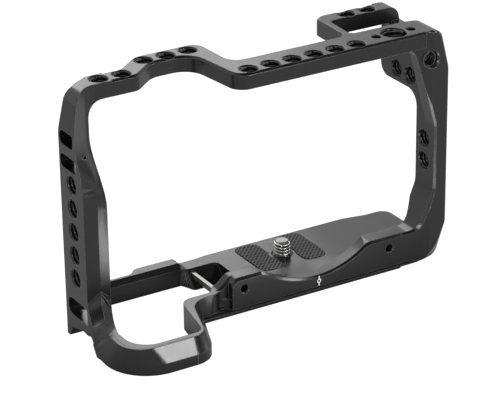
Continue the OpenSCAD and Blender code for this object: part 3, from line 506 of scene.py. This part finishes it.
@dataclass(frozen=True)
class Finish:
    """One surface finish.

    Args:
        name: The material's name.
        dark: Colour of the surface.
        light: Colour along the edges, a painted highlight that partly stands for wear, or on the
            raised lines, a painted highlight.
        metallic: Metallic share.
        roughness: Lowest and highest roughness.
        grain: Scale of the fine grain, per metre.
        bump: Height of the grain, in metres.
        grain_share: How strongly the grain shows.
        clouds: Scale of the patches of roughness, per metre.
        cloud_edges: Noise values where the patches start and end.
        edge_gain: How strongly the painted highlight and wear on the edges show.
        specular: Specular level.
        mesh_pitch: Pitch of raised lines that cross at right angles, in metres, or 0 for none.
        line_edges: Where a line's flank starts and ends, as shares of half the pitch.
        line_height: Height of the lines, in metres.
    """

    name: str
    dark: Place
    light: Place
    metallic: float
    roughness: Pair
    grain: float = 3000.0
    bump: float = 0.01 * MM
    grain_share: float = 0.5
    clouds: float = 70.0
    cloud_edges: Pair = (0.3, 0.7)
    edge_gain: float = 3.0
    specular: float = 0.5
    mesh_pitch: float = 0.0
    line_edges: Pair = (0.58, 0.72)
    line_height: float = 0.15 * MM

    def _crossed_lines(self, pen: NodePen) -> NodeSocket:
        """Adds the raised lines, which run at 45 degrees to X and Y.

        Args:
            pen: Writes into the material's tree.

        Returns:
            The socket of their mask, which also carries the painted highlight on the lines.
        """
        half = self.mesh_pitch / math.sqrt(2)
        start, end = (share * half for share in self.line_edges)
        where = pen.add("ShaderNodeTexCoord").outputs["Object"]
        place = pen.add("ShaderNodeSeparateXYZ", Vector=where).outputs
        bands = []
        for operation in ("ADD", "SUBTRACT"):
            wave = pen.calc("PINGPONG", pen.calc(operation, place["X"], place["Y"]), half)
            band = pen.add("ShaderNodeMapRange", Value=wave, From_Min=start, From_Max=end)
            bands.append(band.outputs[0])
        return pen.calc("MAXIMUM", *bands)

    def material(self, edges: NodeTree, grain: NodeTree) -> Material:
        """Builds the material.

        Args:
            edges: The shared group for the edges' painted highlight and wear.
            grain: The shared group for the grain.

        Returns:
            The material.
        """
        made = bpy.data.materials.new(self.name)
        made.use_nodes = True
        made.node_tree.nodes.clear()
        pen = NodePen(made.node_tree)
        skin = pen.add("ShaderNodeGroup", {"node_tree": grain}, Scale=self.grain,
                       Clouds=self.clouds).outputs
        rough = pen.add("ShaderNodeMapRange", Value=skin["Patches"],
                        From_Min=self.cloud_edges[0], From_Max=self.cloud_edges[1],
                        To_Min=self.roughness[0], To_Max=self.roughness[1])
        rounded = pen.add("ShaderNodeBevel", {"samples": 6}, Radius=EDGE_ROUNDING)
        bump = pen.add("ShaderNodeBump", Strength=self.grain_share, Distance=self.bump,
                       Height=skin["Height"], Normal=rounded.outputs[0])
        if self.mesh_pitch:
            mask = self._crossed_lines(pen)
            bump = pen.add("ShaderNodeBump", Strength=1.0, Distance=self.line_height, Height=mask,
                           Normal=bump.outputs[0])
        else:
            wear_and_highlight = pen.add("ShaderNodeGroup", {"node_tree": edges}, Gain=self.edge_gain)
            mask = wear_and_highlight.outputs["Edge"]
        # The light colour is a painted highlight along the edges, partly wear, or a painted
        # highlight on the raised lines.
        colour = pen.mix(mask, (*self.dark, 1.0), (*self.light, 1.0))
        shader = pen.add("ShaderNodeBsdfPrincipled", Base_Color=colour, Metallic=self.metallic,
                         Roughness=rough.outputs[0], Normal=bump.outputs[0])
        shader.inputs["Specular IOR Level"].default_value = self.specular
        pen.add("ShaderNodeOutputMaterial", Surface=shader.outputs[0])
        return made


# Black anodised: the light colour is a painted highlight along the edges, partly standing for wear.
ANODISED = Finish("black_anodised", (0.009, 0.009, 0.0095), (0.2, 0.2, 0.203), 0.0, (0.2, 0.26),
                  grain=6000.0, bump=0.015 * MM)
# Cut thread: the light colour along the ridges' edges is a painted glint.
THREADED = Finish("cut_thread", (0.03, 0.03, 0.031), (0.5, 0.5, 0.51), 0.4, (0.2, 0.28))
# Rubber: the light colour on the raised lines is a painted highlight where the ridges catch the
# light.
RUBBER = Finish("moulded_rubber", (0.002, 0.002, 0.002), (0.15, 0.15, 0.15), 0.0, (0.6, 0.75),
                grain=2500.0, bump=0.05 * MM, specular=0.1, mesh_pitch=1.35 * MM)
KEY_STEEL = Finish("drawn_key_steel", (0.2, 0.198, 0.192), (0.45, 0.45, 0.44), 1.0, (0.2, 0.3))
# Crest and core steel are one steel in lit and shaded copies: painted highlight on the thread's
# ridge, painted shade on the screw's body.
LIT_CREST_STEEL = Finish("lit_thread_crest_steel", (0.6, 0.595, 0.58), (0.85, 0.85, 0.83), 1.0,
                     (0.22, 0.32))
SHADED_CORE_STEEL = Finish("shaded_turned_steel", (0.22, 0.218, 0.212), (0.6, 0.6, 0.58), 1.0, (0.25, 0.35))
OXIDE = Finish("black_oxide_steel", (0.03, 0.03, 0.032), (0.12, 0.12, 0.12), 0.6, (0.3, 0.4))
NICKEL = Finish("nickel_plate", (0.7, 0.69, 0.66), (0.9, 0.9, 0.88), 1.0, (0.15, 0.22))
WHITE_PAINT = Finish("white_mark", (0.8, 0.8, 0.8), (0.8, 0.8, 0.8), 0.0, (0.5, 0.6))


class FinishShop:
    """Builds the material of each finish once, from the shared shader groups."""

    def __init__(self) -> None:
        """Builds the shared groups."""
        self.edges, self.grain = edge_line_group(), grain_group()
        self.made: dict[str, Material] = {}

    def __getitem__(self, finish: Finish) -> Material:
        """The finish's material."""
        if finish.name not in self.made:
            self.made[finish.name] = finish.material(self.edges, self.grain)
        return self.made[finish.name]


@dataclass(frozen=True)
class LoopSkirt:
    """Outer surface of the grip loop, from the wall's front face round the loop's rounded corner.

    Each section has an outer foot, the lower crease, the upper edge and inner corners that stay in
    the loop. Lengths are millimetres.

    Args:
        outer_x: The cage's outer side.
        front: Front of the loop's foot.
        edge_x: Upper edge of the skirt across the cage, at the loop and at the wall.
        wall_y: The wall's front face.
        sweep_radius: Radius of the upper edge where it sweeps up to the wall.
        opening_radius: Radius of that sweep along the window's edge.
        opening_line: Two points of the window's edge, in plan.
        top: Top of the loop.
        band: Top of the upright foot.
        low_corner: Centre and radius of the foot's rounded corner.
        high_corner: Centre and radius of the upper edge's rounded corner.
        end_x: Right end of the skirt.
        crease: The lower crease on the outer side: place, height and foot, from the loop upwards.
        steps: Sections in a quarter turn.
        wall: Thickness of the skirt.
        fall: Fall of the top towards the loop's inside.
        inner_depth: Depth of the inner corners below the top.
        rim: Inset and depth of the inner corner below the window's edge.
        overlap: How far the last section runs into the wall, aside and back.
        room_out: How far the room for the skirt reaches out of it.
        room_wall: How far the room for the skirt reaches into the loop.
        gap: Distance that the rooms keep from the wall and the loop's top.
        sweep_low: Outer front corner of the room for the sweep, in plan.
        sweep_high: Top of the room for the sweep.
        sweep_in: How far that room passes the window's edge.
    """

    outer_x: float = -74.5
    front: float = -32.0
    edge_x: Pair = (-72.2, -68.9)
    wall_y: float = -2.3
    sweep_radius: float = 12.0
    opening_radius: float = 8.0
    opening_line: tuple[Pair, Pair] = ((-64.5, -1.0), (-68.3, -13.0))
    top: float = 10.0
    band: float = 4.0
    low_corner: Place = (-57.5, -15.0, 17.0)
    high_corner: Place = (-62.2, -19.4, 10.0)
    end_x: float = -47.0
    crease: tuple[Place, ...] = (
        (-8.6, 4.0, 0.3), (-7.4, 4.3, 2.4), (-6.7, 5.8, 3.4), (-6.0, 7.7, 4.2), (-5.4, 9.7, 5.0),
        (-4.75, 11.7, 5.9), (-4.0, 13.4, 6.3), (-3.2, 14.9, 6.3), (-2.55, 16.5, 6.3),
        (-2.3, 18.5, 6.3))
    steps: int = 27
    wall: float = 1.5
    fall: float = 0.03
    inner_depth: float = 2.0
    rim: Pair = (0.4, 1.5)
    overlap: Pair = (0.1, 0.6)
    room_out: float = 1.0
    room_wall: float = 0.6
    gap: float = 0.01
    sweep_low: Pair = (-76.0, -17.0)
    sweep_high: float = 24.0
    sweep_in: float = 0.2

    def _crease_at(self, share: float) -> Place:
        """Crease and foot on the outer side, as a smooth curve through the given points.

        Args:
            share: 0 at the loop, 1 up at the wall.

        Returns:
            Place, height and foot.
        """
        last = len(self.crease) - 1
        at = share * last
        i = min(int(at), last - 1)
        t = at - i
        points = [self.crease[max(0, min(last, i + k))] for k in (-1, 0, 1, 2)]
        return tuple(0.5 * (2 * q + (r - p) * t + (2 * p - 5 * q + 4 * r - u) * t * t
                            + (3 * q - p - 3 * r + u) * t ** 3) for p, q, r, u in zip(*points))

    def _opening_x(self, y: float) -> float:
        """Place across of the window's edge."""
        (x0, y0), (x1, y1) = self.opening_line
        return x0 + (x1 - x0) * (y - y0) / (y1 - y0)

    def _quarter(self, i: int) -> Pair:
        """Sine, and one less the cosine, of a section's turn in the sweep."""
        turn = math.pi / 2 * i / self.steps
        return math.sin(turn), 1 - math.cos(turn)

    def _edge_at(self, across: float) -> Pair:
        """Upper edge of the skirt in plan, in the sweep."""
        return (self.edge_x[0] + (self.edge_x[1] - self.edge_x[0]) * across,
                self.wall_y - self.sweep_radius * (1 - across))

    def _section(self, low: Pair, high: Pair, way: Pair, out: float, wall: float) -> Row:
        """A section of the plain loop, moved out and given its depth.

        Args:
            low: Foot in plan.
            high: Upper edge in plan.
            way: Direction outwards.
            out: How far it is moved out.
            wall: Its depth.

        Returns:
            The section's corners.
        """
        x0, y0 = low[0] + way[0] * out, low[1] + way[1] * out
        x1, y1 = high[0] + way[0] * out, high[1] + way[1] * out
        x2, y2 = high[0] - way[0] * wall, high[1] - way[1] * wall
        x3, y3 = low[0] - way[0] * wall, low[1] - way[1] * wall
        top = self.top + out
        return [(x0, y0, -out), (x0, y0, self.band), (x1, y1, top), (x2, y2, top - self.fall),
                (x2, y2, self.top - self.inner_depth), (x3, y3, -out)]

    def _loop_rows(self, out: float, wall: float) -> list[Row]:
        """Sections from the skirt's right end round the corner to the outer side.

        Args:
            out: How far they are moved out.
            wall: Their depth.

        Returns:
            The sections.
        """
        (lx, ly, lr), (hx, hy, hr) = self.low_corner, self.high_corner
        rows = [self._section((x, self.front), (x, hy - hr), (0, -1), out, wall)
                for x in (self.end_x, lx)]
        for i in range(1, self.steps):
            turn = math.pi / 2 * (1 - i / self.steps)
            way = (-math.cos(turn), -math.sin(turn))
            low, high = (lx + lr * way[0], ly + lr * way[1]), (hx + hr * way[0], hy + hr * way[1])
            rows.append(self._section(low, high, way, out, wall))
        rows.append(self._section((self.outer_x, ly), (self.edge_x[0], hy), (-1, 0), out, wall))
        return rows

    def _sweep_rows(self) -> list[Row]:
        """Sections of the skirt from the loop up to the wall.

        Returns:
            The sections, with a last one that ends inside the wall.
        """
        rows = []
        for i in range(self.steps + 1):
            across, rise = self._quarter(i)
            y, z, foot = self._crease_at(i / self.steps)
            rim_y = self.opening_line[0][1] - self.opening_radius * (1 - across)
            rim_x = self._opening_x(rim_y)
            rows.append([(self.outer_x, y, foot), (self.outer_x, y, z),
                         (*self._edge_at(across), self.top + self.sweep_radius * rise),
                         (rim_x, rim_y, self.top + self.opening_radius * rise),
                         (rim_x - self.rim[0], rim_y, self.top - self.rim[1]),
                         (self.outer_x + self.wall, y, foot)])
        middle = (self.outer_x + self.opening_line[0][0]) / 2
        aside, back = self.overlap
        rows.append([(x + (aside if x < middle else -aside), y + back, z) for x, y, z in rows[-1]])
        return rows

    def _room_rows(self) -> list[Row]:
        """Sections of the room for the sweep below the loop's top.

        Returns:
            The sections.
        """
        limit, top = self.wall_y - self.gap, self.top + self.room_out
        outer_x, inner_x = self.outer_x - self.room_out, self.outer_x + self.room_wall
        rows = []
        for i in range(self.steps + 1):
            across, _ = self._quarter(i)
            y, z, foot = self._crease_at(i / self.steps)
            y, foot = min(y, limit), min(foot, self.band)
            edge_x, edge_y = self._edge_at(across)
            back = (edge_x + self.room_wall, min(edge_y, limit))
            rows.append([(outer_x, y, foot), (outer_x, y, min(z, self.top)),
                         (edge_x - self.room_out, min(edge_y - self.room_out * across, limit), top),
                         (*back, top), (*back, self.top - self.inner_depth), (inner_x, y, foot)])
        return rows

    def _lofted(self, name: str, rows: list[Row]) -> Object:
        """Joins sections to a closed mesh.

        Args:
            name: The object's name.
            rows: Sections with as many corners each.

        Returns:
            The object.
        """
        form = bmesh.new()
        rings = [[form.verts.new(Vector(p) * MM) for p in row] for row in rows]
        for a, b in zip(rings, rings[1:]):
            for i in range(len(a)):
                j = (i + 1) % len(a)
                form.faces.new((a[i], a[j], b[j], b[i]))
        form.faces.new(rings[0])
        form.faces.new(rings[-1])
        bmesh.ops.recalc_face_normals(form, faces=form.faces)
        bmesh.ops.triangulate(form, faces=form.faces)
        return finished(form, name)

    def rooms(self) -> list[Object]:
        """Bodies that are cut from the frame before the skirt is laid on.

        Returns:
            The room for the sweep above the loop's top, and the room for the skirt below it.
        """
        form = bmesh.new()
        low = (*self.sweep_low, self.top + self.gap)
        high = (self.opening_line[0][0] + self.sweep_in, self.wall_y - self.gap, self.sweep_high)
        bmesh.ops.create_cube(form, size=1.0)
        for vert in form.verts:
            spot = [(a + b) / 2 + c * (b - a) for a, b, c in zip(low, high, vert.co)]
            vert.co = Vector(spot) * MM
        below = self._loop_rows(self.room_out, self.room_wall) + self._room_rows()
        return [finished(form, "sweep_room"), self._lofted("skirt_room", below)]

    def build(self, material: Material) -> Object:
        """Builds the skirt.

        Args:
            material: The frame's finish.

        Returns:
            The skirt as a closed piece.
        """
        piece = self._lofted("loop_skirt", self._loop_rows(0.0, self.wall) + self._sweep_rows())
        smooth_by_angle(piece.data, FRAME_SMOOTH)
        coat(piece, material)
        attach(piece, Body.FRAME.value)
        return piece


@dataclass
class FrameSkin:
    """The machined frame as one skin, with drilled holes.

    Args:
        skirt: The loop's skirt, which gets its room.
        nodes: The members of the frame.
        drill_sides: Sides of a drill.
        merge: Distance below which corners become one, in metres.
        flat: Turn below which faces become one, in radians.
    """

    skirt: LoopSkirt
    nodes: tuple[str, ...] = ("base_plate", "grip_loop", "grip_side_wall", "top_bar", "rear_bridge",
                              "right_pillar", "rear_rail")
    drill_sides: int = 32
    merge: float = 0.002 * MM
    flat: float = math.radians(0.3)

    def build(self, material: Material) -> Object:
        """Joins the members and drills the holes.

        Args:
            material: The frame's finish.

        Returns:
            The skin, shown in place of the members, which are hidden.
        """
        skin = merged_copy(self.nodes[0], "frame_skin")
        for node in self.nodes[1:]:
            combined(skin, merged_copy(node, node + "_part"), Join.UNION)
        for room in self.skirt.rooms():
            combined(skin, room, Join.CUT)
        combined(skin, self._drills(), Join.CUT)
        self._clean(skin)
        smooth_by_angle(skin.data, FRAME_SMOOTH)
        coat(skin, material)
        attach(skin, Body.FRAME.value)
        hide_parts(*self.nodes)
        return skin

    def _drills(self) -> Object:
        """Makes all the drills at the thread's root width.

        Returns:
            One object that cuts all the holes.
        """
        form = bmesh.new()
        for row in HOLE_ROWS:
            root, end, start = row.thread.root, -(row.depth + row.beyond) * MM, -row.thread.start
            for mouth in row.mouths():
                turned([(0, end), (root, end), (root, start), (0, start)], self.drill_sides,
                       placed(mouth, Vector(row.facing.value)), form)
        return finished(form, "drills")

    def _clean(self, skin: Object) -> None:
        """Merges the skin's flat faces and reports its open edges.

        Args:
            skin: The skin.
        """
        form = bmesh.new()
        form.from_mesh(skin.data)
        bmesh.ops.remove_doubles(form, verts=form.verts, dist=self.merge)
        bmesh.ops.dissolve_limit(form, angle_limit=self.flat, verts=form.verts, edges=form.edges)
        bmesh.ops.triangulate(form, faces=[f for f in form.faces if len(f.verts) > 4])
        for face in form.faces:
            face.material_index = 0
        LOG.info("skin: %d open edges", sum(1 for e in form.edges if len(e.link_faces) != 2))
        form.to_mesh(skin.data)
        form.free()


@dataclass
class HoleThreads:
    """Ridges of the threads in the frame's holes.

    Args:
        rows: The rows of holes.
        inset: How deep a ridge sits in the hole's wall, in metres.
        end_gap: Distance of the helix from each end of the hole, in pitches.
        ridge: Width of a ridge at its wide and at its narrow side, in pitches.
    """

    rows: tuple[HoleRow, ...] = HOLE_ROWS
    inset: float = 0.05 * MM
    end_gap: float = 0.3
    ridge: Pair = (0.78, 0.16)

    def build(self, material: Material) -> list[Object]:
        """Lays a helix in each hole.

        Args:
            material: The finish of the threads.

        Returns:
            One piece for each thread size and length.
        """
        tree = ThreadTree("hole_threads", material)
        groups: dict[tuple[Thread, float], list[tuple[Vector, Vector]]] = {}
        for row in self.rows:
            axis = Vector(row.facing.value)
            for mouth in row.mouths():
                start = mouth - axis * (row.depth * MM - self.end_gap * row.thread.pitch)
                groups.setdefault((row.thread, row.depth), []).append((start, axis))
        pieces = []
        for number, ((thread, depth), spots) in enumerate(groups.items()):
            length = depth * MM - thread.start - 2 * self.end_gap * thread.pitch
            height = thread.root - thread.crest + self.inset
            piece = tree.grow("hole_thread_%d" % (number + 1), spots, {
                "Radius": thread.crest + height / 2, "Ridge Height": height,
                "Ridge Base": self.ridge[0] * thread.pitch,
                "Ridge Top": self.ridge[1] * thread.pitch,
                "Pitch": thread.pitch, "Turns": length / thread.pitch})
            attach(piece, Body.FRAME.value)
            pieces.append(piece)
        return pieces


@dataclass
class CameraScrew:
    """The captive screw, with a thread on its stud. Lengths are metres.

    Args:
        centre: The screw's axis, in plan.
        plate: Height of the plate's top.
        tip: Height of the stud's tip.
        head: Radius that clears the head.
        thread: Sizes of the stud's thread.
        undercut: Heights around the plate's top between which the stud narrows to its root.
        chamfer: Width and height of the chamfer at the tip.
        skim: What is taken off the tip.
        sides: Sides of the stud.
        smooth: Edges that turn less than this are shaded smooth, in radians.
        run: Distance of the thread from the undercut and from the tip.
        ridge: Width of the ridge at its wide and at its narrow side, in pitches.
    """

    centre: Pair = (18.2 * MM, 18.0 * MM)
    plate: float = 6.2 * MM
    tip: float = 11.9 * MM
    head: float = 8.0 * MM
    thread: Thread = Thread(3.17 * MM, 2.55 * MM, 1.27 * MM)
    undercut: Pair = (-0.2 * MM, 0.3 * MM)
    chamfer: Pair = (0.35 * MM, 0.3 * MM)
    skim: float = 0.01 * MM
    sides: int = 48
    smooth: float = math.radians(35)
    run: Pair = (0.1 * MM, 0.75 * MM)
    ridge: Pair = (0.14, 0.8)

    def build(self, core: Material, crest: Material) -> list[Object]:
        """Turns the stud down to its thread's root and lays the ridge on it.

        Args:
            core: Finish of the screw's body, a darker copy of the steel as painted shade.
            crest: Finish of the thread's ridge, a lighter copy of the same steel as painted
                highlight.

        Returns:
            The screw's body and its ridge.
        """
        root, low = self.thread.root, self.plate + self.undercut[1]
        form = bmesh.new()
        turned([(0, -self.plate), (self.head, -self.plate),
                (self.head, self.plate + self.undercut[0]), (root, low),
                (root, self.tip - self.chamfer[1]),
                (root - self.chamfer[0], self.tip - self.skim), (0, self.tip - self.skim)],
               self.sides, Matrix.Translation((*self.centre, 0)), form)
        stud = combined(merged_copy("camera_screw", "camera_screw_stud"),
                        finished(form, "stud_envelope"), Join.COMMON)
        smooth_by_angle(stud.data, self.smooth)
        coat(stud, core)
        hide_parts("camera_screw")
        height, pitch = self.thread.crest - root, self.thread.pitch
        start = low + self.run[0]
        length = self.tip - self.run[1] - start
        spots = [(Vector((*self.centre, start)), Vector((0, 0, 1)))]
        ridge = ThreadTree("stud_thread", crest).grow("camera_screw_thread", spots, {
            "Radius": root + height / 2, "Ridge Height": height,
            "Ridge Base": self.ridge[0] * pitch, "Ridge Top": self.ridge[1] * pitch,
            "Pitch": pitch, "Turns": length / pitch})
        for piece in (stud, ridge):
            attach(piece, Body.SCREW.value)
        return [stud, ridge]


@dataclass
class IndexMark:
    """White lens centre mark on the base's front face: an upright line with a small ring.

    Args:
        centre: Centre of the ring, across and up, in metres.
        face: The base's front face.
        half_length: From the centre to an end of the line.
        ring: Inner and outer radius of the ring.
        half_width: Half the line's width.
        lift: How far the mark stands proud of the face.
        sides: Sides of the ring.
    """

    centre: Pair = (19.2 * MM, 4.6 * MM)
    face: float = -6.5 * MM
    half_length: float = 1.95 * MM
    ring: Pair = (0.46 * MM, 0.84 * MM)
    half_width: float = 0.2 * MM
    lift: float = 0.02 * MM
    sides: int = 32

    def build(self, material: Material) -> Object:
        """Lays the mark just proud of the face.

        Args:
            material: The paint.

        Returns:
            The mark.
        """
        form = bmesh.new()
        angles = [2 * math.pi * i / self.sides for i in range(self.sides)]
        inner, outer = (
            [self._spot(form, radius * math.sin(a), radius * math.cos(a)) for a in angles]
            for radius in self.ring)
        for i in range(self.sides):
            j = (i + 1) % self.sides
            form.faces.new((inner[j], inner[i], outer[i], outer[j]))
        for low, high in ((-self.half_length, -self.ring[1]), (self.ring[1], self.half_length)):
            form.faces.new([self._spot(form, x, z) for x, z in (
                (-self.half_width, low), (self.half_width, low), (self.half_width, high),
                (-self.half_width, high))])
        bmesh.ops.recalc_face_normals(form, faces=form.faces)
        for face in form.faces:
            if face.normal.y > 0:
                face.normal_flip()
        obj = finished(form, "lens_centre_mark")
        coat(obj, material)
        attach(obj, Body.FRAME.value)
        return obj

    def _spot(self, form: BMesh, x: float, z: float) -> BMVert:
        """Adds one corner of the mark, given from its centre."""
        return form.verts.new((self.centre[0] + x, self.face - self.lift, self.centre[1] + z))


@dataclass(frozen=True)
class CarriedPieces:
    """CAD nodes that keep their shape and get their finish.

    Args:
        finishes: Each node with its finish.
    """

    finishes: tuple[tuple[str, Finish], ...] = (
        ("rubber_pad_left", RUBBER), ("rubber_pad_right", RUBBER), ("screw_retaining_ring", OXIDE),
        ("hex_key", KEY_STEEL), ("key_magnet", NICKEL))

    def build(self, shop: FinishShop) -> list[Object]:
        """Dresses the nodes.

        Args:
            shop: Where the materials come from.

        Returns:
            The nodes' objects.
        """
        for node, finish in self.finishes:
            coat(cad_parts[node], shop[finish])
        return [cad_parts[node] for node, _ in self.finishes]


@dataclass(frozen=True)
class Lamp:
    """A soft rectangular lamp.

    Args:
        name: Its name.
        place: Where it stands, in metres.
        size: Width and height, in metres.
        power: Power, in watts.
        target: The point that it faces.
    """

    name: str
    place: Place
    size: Pair
    power: float
    target: Place = (0.0, 0.0, 0.045)

    def build(self) -> None:
        """Puts the lamp in the scene."""
        data = bpy.data.lights.new(self.name, "AREA")
        data.shape, data.energy = "RECTANGLE", self.power
        data.size, data.size_y = self.size
        obj = bpy.data.objects.new(self.name, data)
        spot = Vector(self.place)
        aim = (Vector(self.target) - spot).to_track_quat("-Z", "Y").to_matrix().to_4x4()
        obj.matrix_world = Matrix.Translation(spot) @ aim
        bpy.context.scene.collection.objects.link(obj)


LAMPS = (
    Lamp("rear_panel", (0.26, 0.92, 0.79), (0.65, 0.65), 4.0),
    Lamp("front_right_card", (0.29, -0.93, 0.25), (0.24, 0.2), 3.8),
    Lamp("front_left_card", (-0.6, -0.73, 0.33), (0.12, 0.2), 2.0),
    Lamp("right_panel", (0.83, -0.37, 0.6), (0.3, 0.3), 3.2),
    Lamp("floor_card", (0.015, -0.05, 0.001), (0.08, 0.024), 0.04, (0.015, -0.05, 1.0)),
    Lamp("overhead_panel", (-0.1, 0.35, 1.3), (0.6, 0.6), 1.5),
)


@dataclass(frozen=True)
class Stage:
    """Floor, surroundings, lamps and camera.

    Args:
        camera_at: The camera's place, in metres.
        right: The camera's direction to the right.
        down: The camera's direction down.
        ahead: The camera's direction of view.
        lens: Focal length on a sensor 36 mm wide, in millimetres.
        floor_half: Half the floor's side, in metres.
        floor_matt: Grey of the floor as it lights the object.
        floor_shade: Grey of the part of the floor's look that takes the shadow.
        floor_glow: The rest of the floor's look, as its own light.
        floor_seen: The floor's light in shiny surfaces, away from the object.
        floor_under: The same, right under the object.
        near_dim: Distance over which the object darkens that light, in metres.
        near_from: Openness at which that light starts to rise.
        dark_field: Direction of the dark field above the front.
        field_edges: Closeness to that direction at which the field starts and is full.
        field_levels: Light in shiny surfaces outside the field and in it.
        sky: Light of the surroundings on matt surfaces.
    """

    camera_at: Place = (-0.406887, -0.676791, 0.397952)
    right: Place = (0.85853571, -0.51258322, -0.01322446)
    down: Place = (-0.22328867, -0.35052461, -0.90954641)
    ahead: Place = (0.46158273, 0.78383094, -0.41539192)
    lens: float = 175.8
    floor_half: float = 4.0
    floor_matt: float = 0.8
    floor_shade: float = 0.25
    floor_glow: float = 0.95
    floor_seen: float = 0.4
    floor_under: float = 0.04
    near_dim: float = 0.05
    near_from: float = 0.35
    dark_field: Place = (0.3, -0.62, 0.78)
    field_edges: Pair = (0.35, 0.75)
    field_levels: Pair = (0.9, 0.02)
    sky: float = 0.3

    def build(self) -> None:
        """Builds everything round the object."""
        self._camera()
        self._floor()
        self._world()
        for lamp in LAMPS:
            lamp.build()

    def _camera(self) -> None:
        """Puts the camera at the photograph's angle."""
        data = bpy.data.cameras.new("camera")
        data.sensor_width, data.lens = 36.0, self.lens
        obj = bpy.data.objects.new("camera", data)
        axes = Vector(self.right), -Vector(self.down), -Vector(self.ahead)
        turn = Matrix(axes).transposed().to_4x4()
        obj.matrix_world = Matrix.Translation(Vector(self.camera_at)) @ turn
        bpy.context.scene.collection.objects.link(obj)
        bpy.context.scene.camera = obj

    @staticmethod
    def _grey(level: float) -> tuple[float, float, float, float]:
        """A grey colour."""
        return (level, level, level, 1.0)

    def _floor(self) -> None:
        """Lays a plain white floor that keeps a soft shadow."""
        half = self.floor_half
        mesh = bpy.data.meshes.new("floor")
        corners = [(-half, -half, 0), (half, -half, 0), (half, half, 0), (-half, half, 0)]
        mesh.from_pydata(corners, [], [(0, 1, 2, 3)])
        obj = new_object("floor", mesh)
        made = bpy.data.materials.new("floor_white")
        made.use_nodes = True
        made.node_tree.nodes.clear()
        pen = NodePen(made.node_tree)
        plain = pen.add("ShaderNodeBsdfDiffuse", Color=self._grey(self.floor_matt))
        shade = pen.add("ShaderNodeBsdfDiffuse", Color=self._grey(self.floor_shade))
        ray = pen.add("ShaderNodeLightPath").outputs
        # Painted shade: the floor's glow, as shiny surfaces see it, is dimmed by ambient occlusion
        # near the object.
        near = pen.add("ShaderNodeAmbientOcclusion", {"samples": 6}, Distance=self.near_dim)
        dimmed = pen.add("ShaderNodeMapRange", Value=near.outputs["AO"], From_Min=self.near_from,
                         From_Max=1.0, To_Min=self.floor_under, To_Max=self.floor_seen)
        level = pen.add("ShaderNodeMix", i0=ray["Is Glossy Ray"], i2=self.floor_glow,
                        i3=dimmed.outputs[0])
        glow = pen.add("ShaderNodeEmission", Color=self._grey(1.0), Strength=level.outputs[0])
        seen = pen.add("ShaderNodeAddShader", i0=shade.outputs[0], i1=glow.outputs[0])
        direct = pen.calc("MAXIMUM", ray["Is Camera Ray"], ray["Is Glossy Ray"])
        every = pen.calc("MAXIMUM", direct, ray["Is Transmission Ray"])
        both = pen.add("ShaderNodeMixShader", Fac=every, i1=plain.outputs[0], i2=seen.outputs[0])
        pen.add("ShaderNodeOutputMaterial", Surface=both.outputs[0])
        coat(obj, made)

    def _world(self) -> None:
        """Makes the world white but for a dark field in shiny surfaces, and dim on matt ones."""
        world = bpy.data.worlds.new("studio")
        world.use_nodes = True
        world.node_tree.nodes.clear()
        pen = NodePen(world.node_tree)
        ray = pen.add("ShaderNodeLightPath").outputs
        way = pen.add("ShaderNodeTexCoord").outputs["Object"]
        toward = pen.add("ShaderNodeVectorMath", {"operation": "DOT_PRODUCT"}, i0=way,
                         i1=Vector(self.dark_field).normalized())
        field = pen.add("ShaderNodeMapRange", Value=toward.outputs["Value"],
                        From_Min=self.field_edges[0], From_Max=self.field_edges[1],
                        To_Min=self.field_levels[0], To_Max=self.field_levels[1])
        shiny = pen.calc("MAXIMUM", ray["Is Glossy Ray"], ray["Is Transmission Ray"])
        lit = pen.add("ShaderNodeMix", i0=shiny, i2=self.sky, i3=field.outputs[0])
        level = pen.add("ShaderNodeMix", i0=ray["Is Camera Ray"], i2=lit.outputs[0], i3=1.0)
        back = pen.add("ShaderNodeBackground", Color=self._grey(1.0), Strength=level.outputs[0])
        pen.add("ShaderNodeOutputWorld", Surface=back.outputs[0])
        bpy.context.scene.world = world


def write_sizes() -> None:
    """Writes nothing; it only defines a helper that turns a box into plain lists and never calls
    it.
    """
    def plain(box: object) -> list[list[float]]:
        """A box as plain lists."""
        return [[float(v) for v in corner] for corner in box]


def main() -> None:
    """Builds the pieces in order and reports each one."""
    logging.basicConfig(level=logging.INFO, format="%(message)s")
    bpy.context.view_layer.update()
    bpy.context.scene.view_settings.view_transform = "Standard"
    Stage().build()
    shop, skirt = FinishShop(), LoopSkirt()
    pieces = [FrameSkin(skirt).build(shop[ANODISED]), skirt.build(shop[ANODISED])]
    pieces += HoleThreads().build(shop[THREADED])
    pieces += CarriedPieces().build(shop)
    pieces += CameraScrew().build(shop[SHADED_CORE_STEEL], shop[LIT_CREST_STEEL])
    pieces.append(IndexMark().build(shop[WHITE_PAINT]))
    for piece in pieces:
        LOG.info("%s: %d faces", piece.name, len(piece.data.polygons))
    write_sizes()


if __name__ == "__main__":
    main()
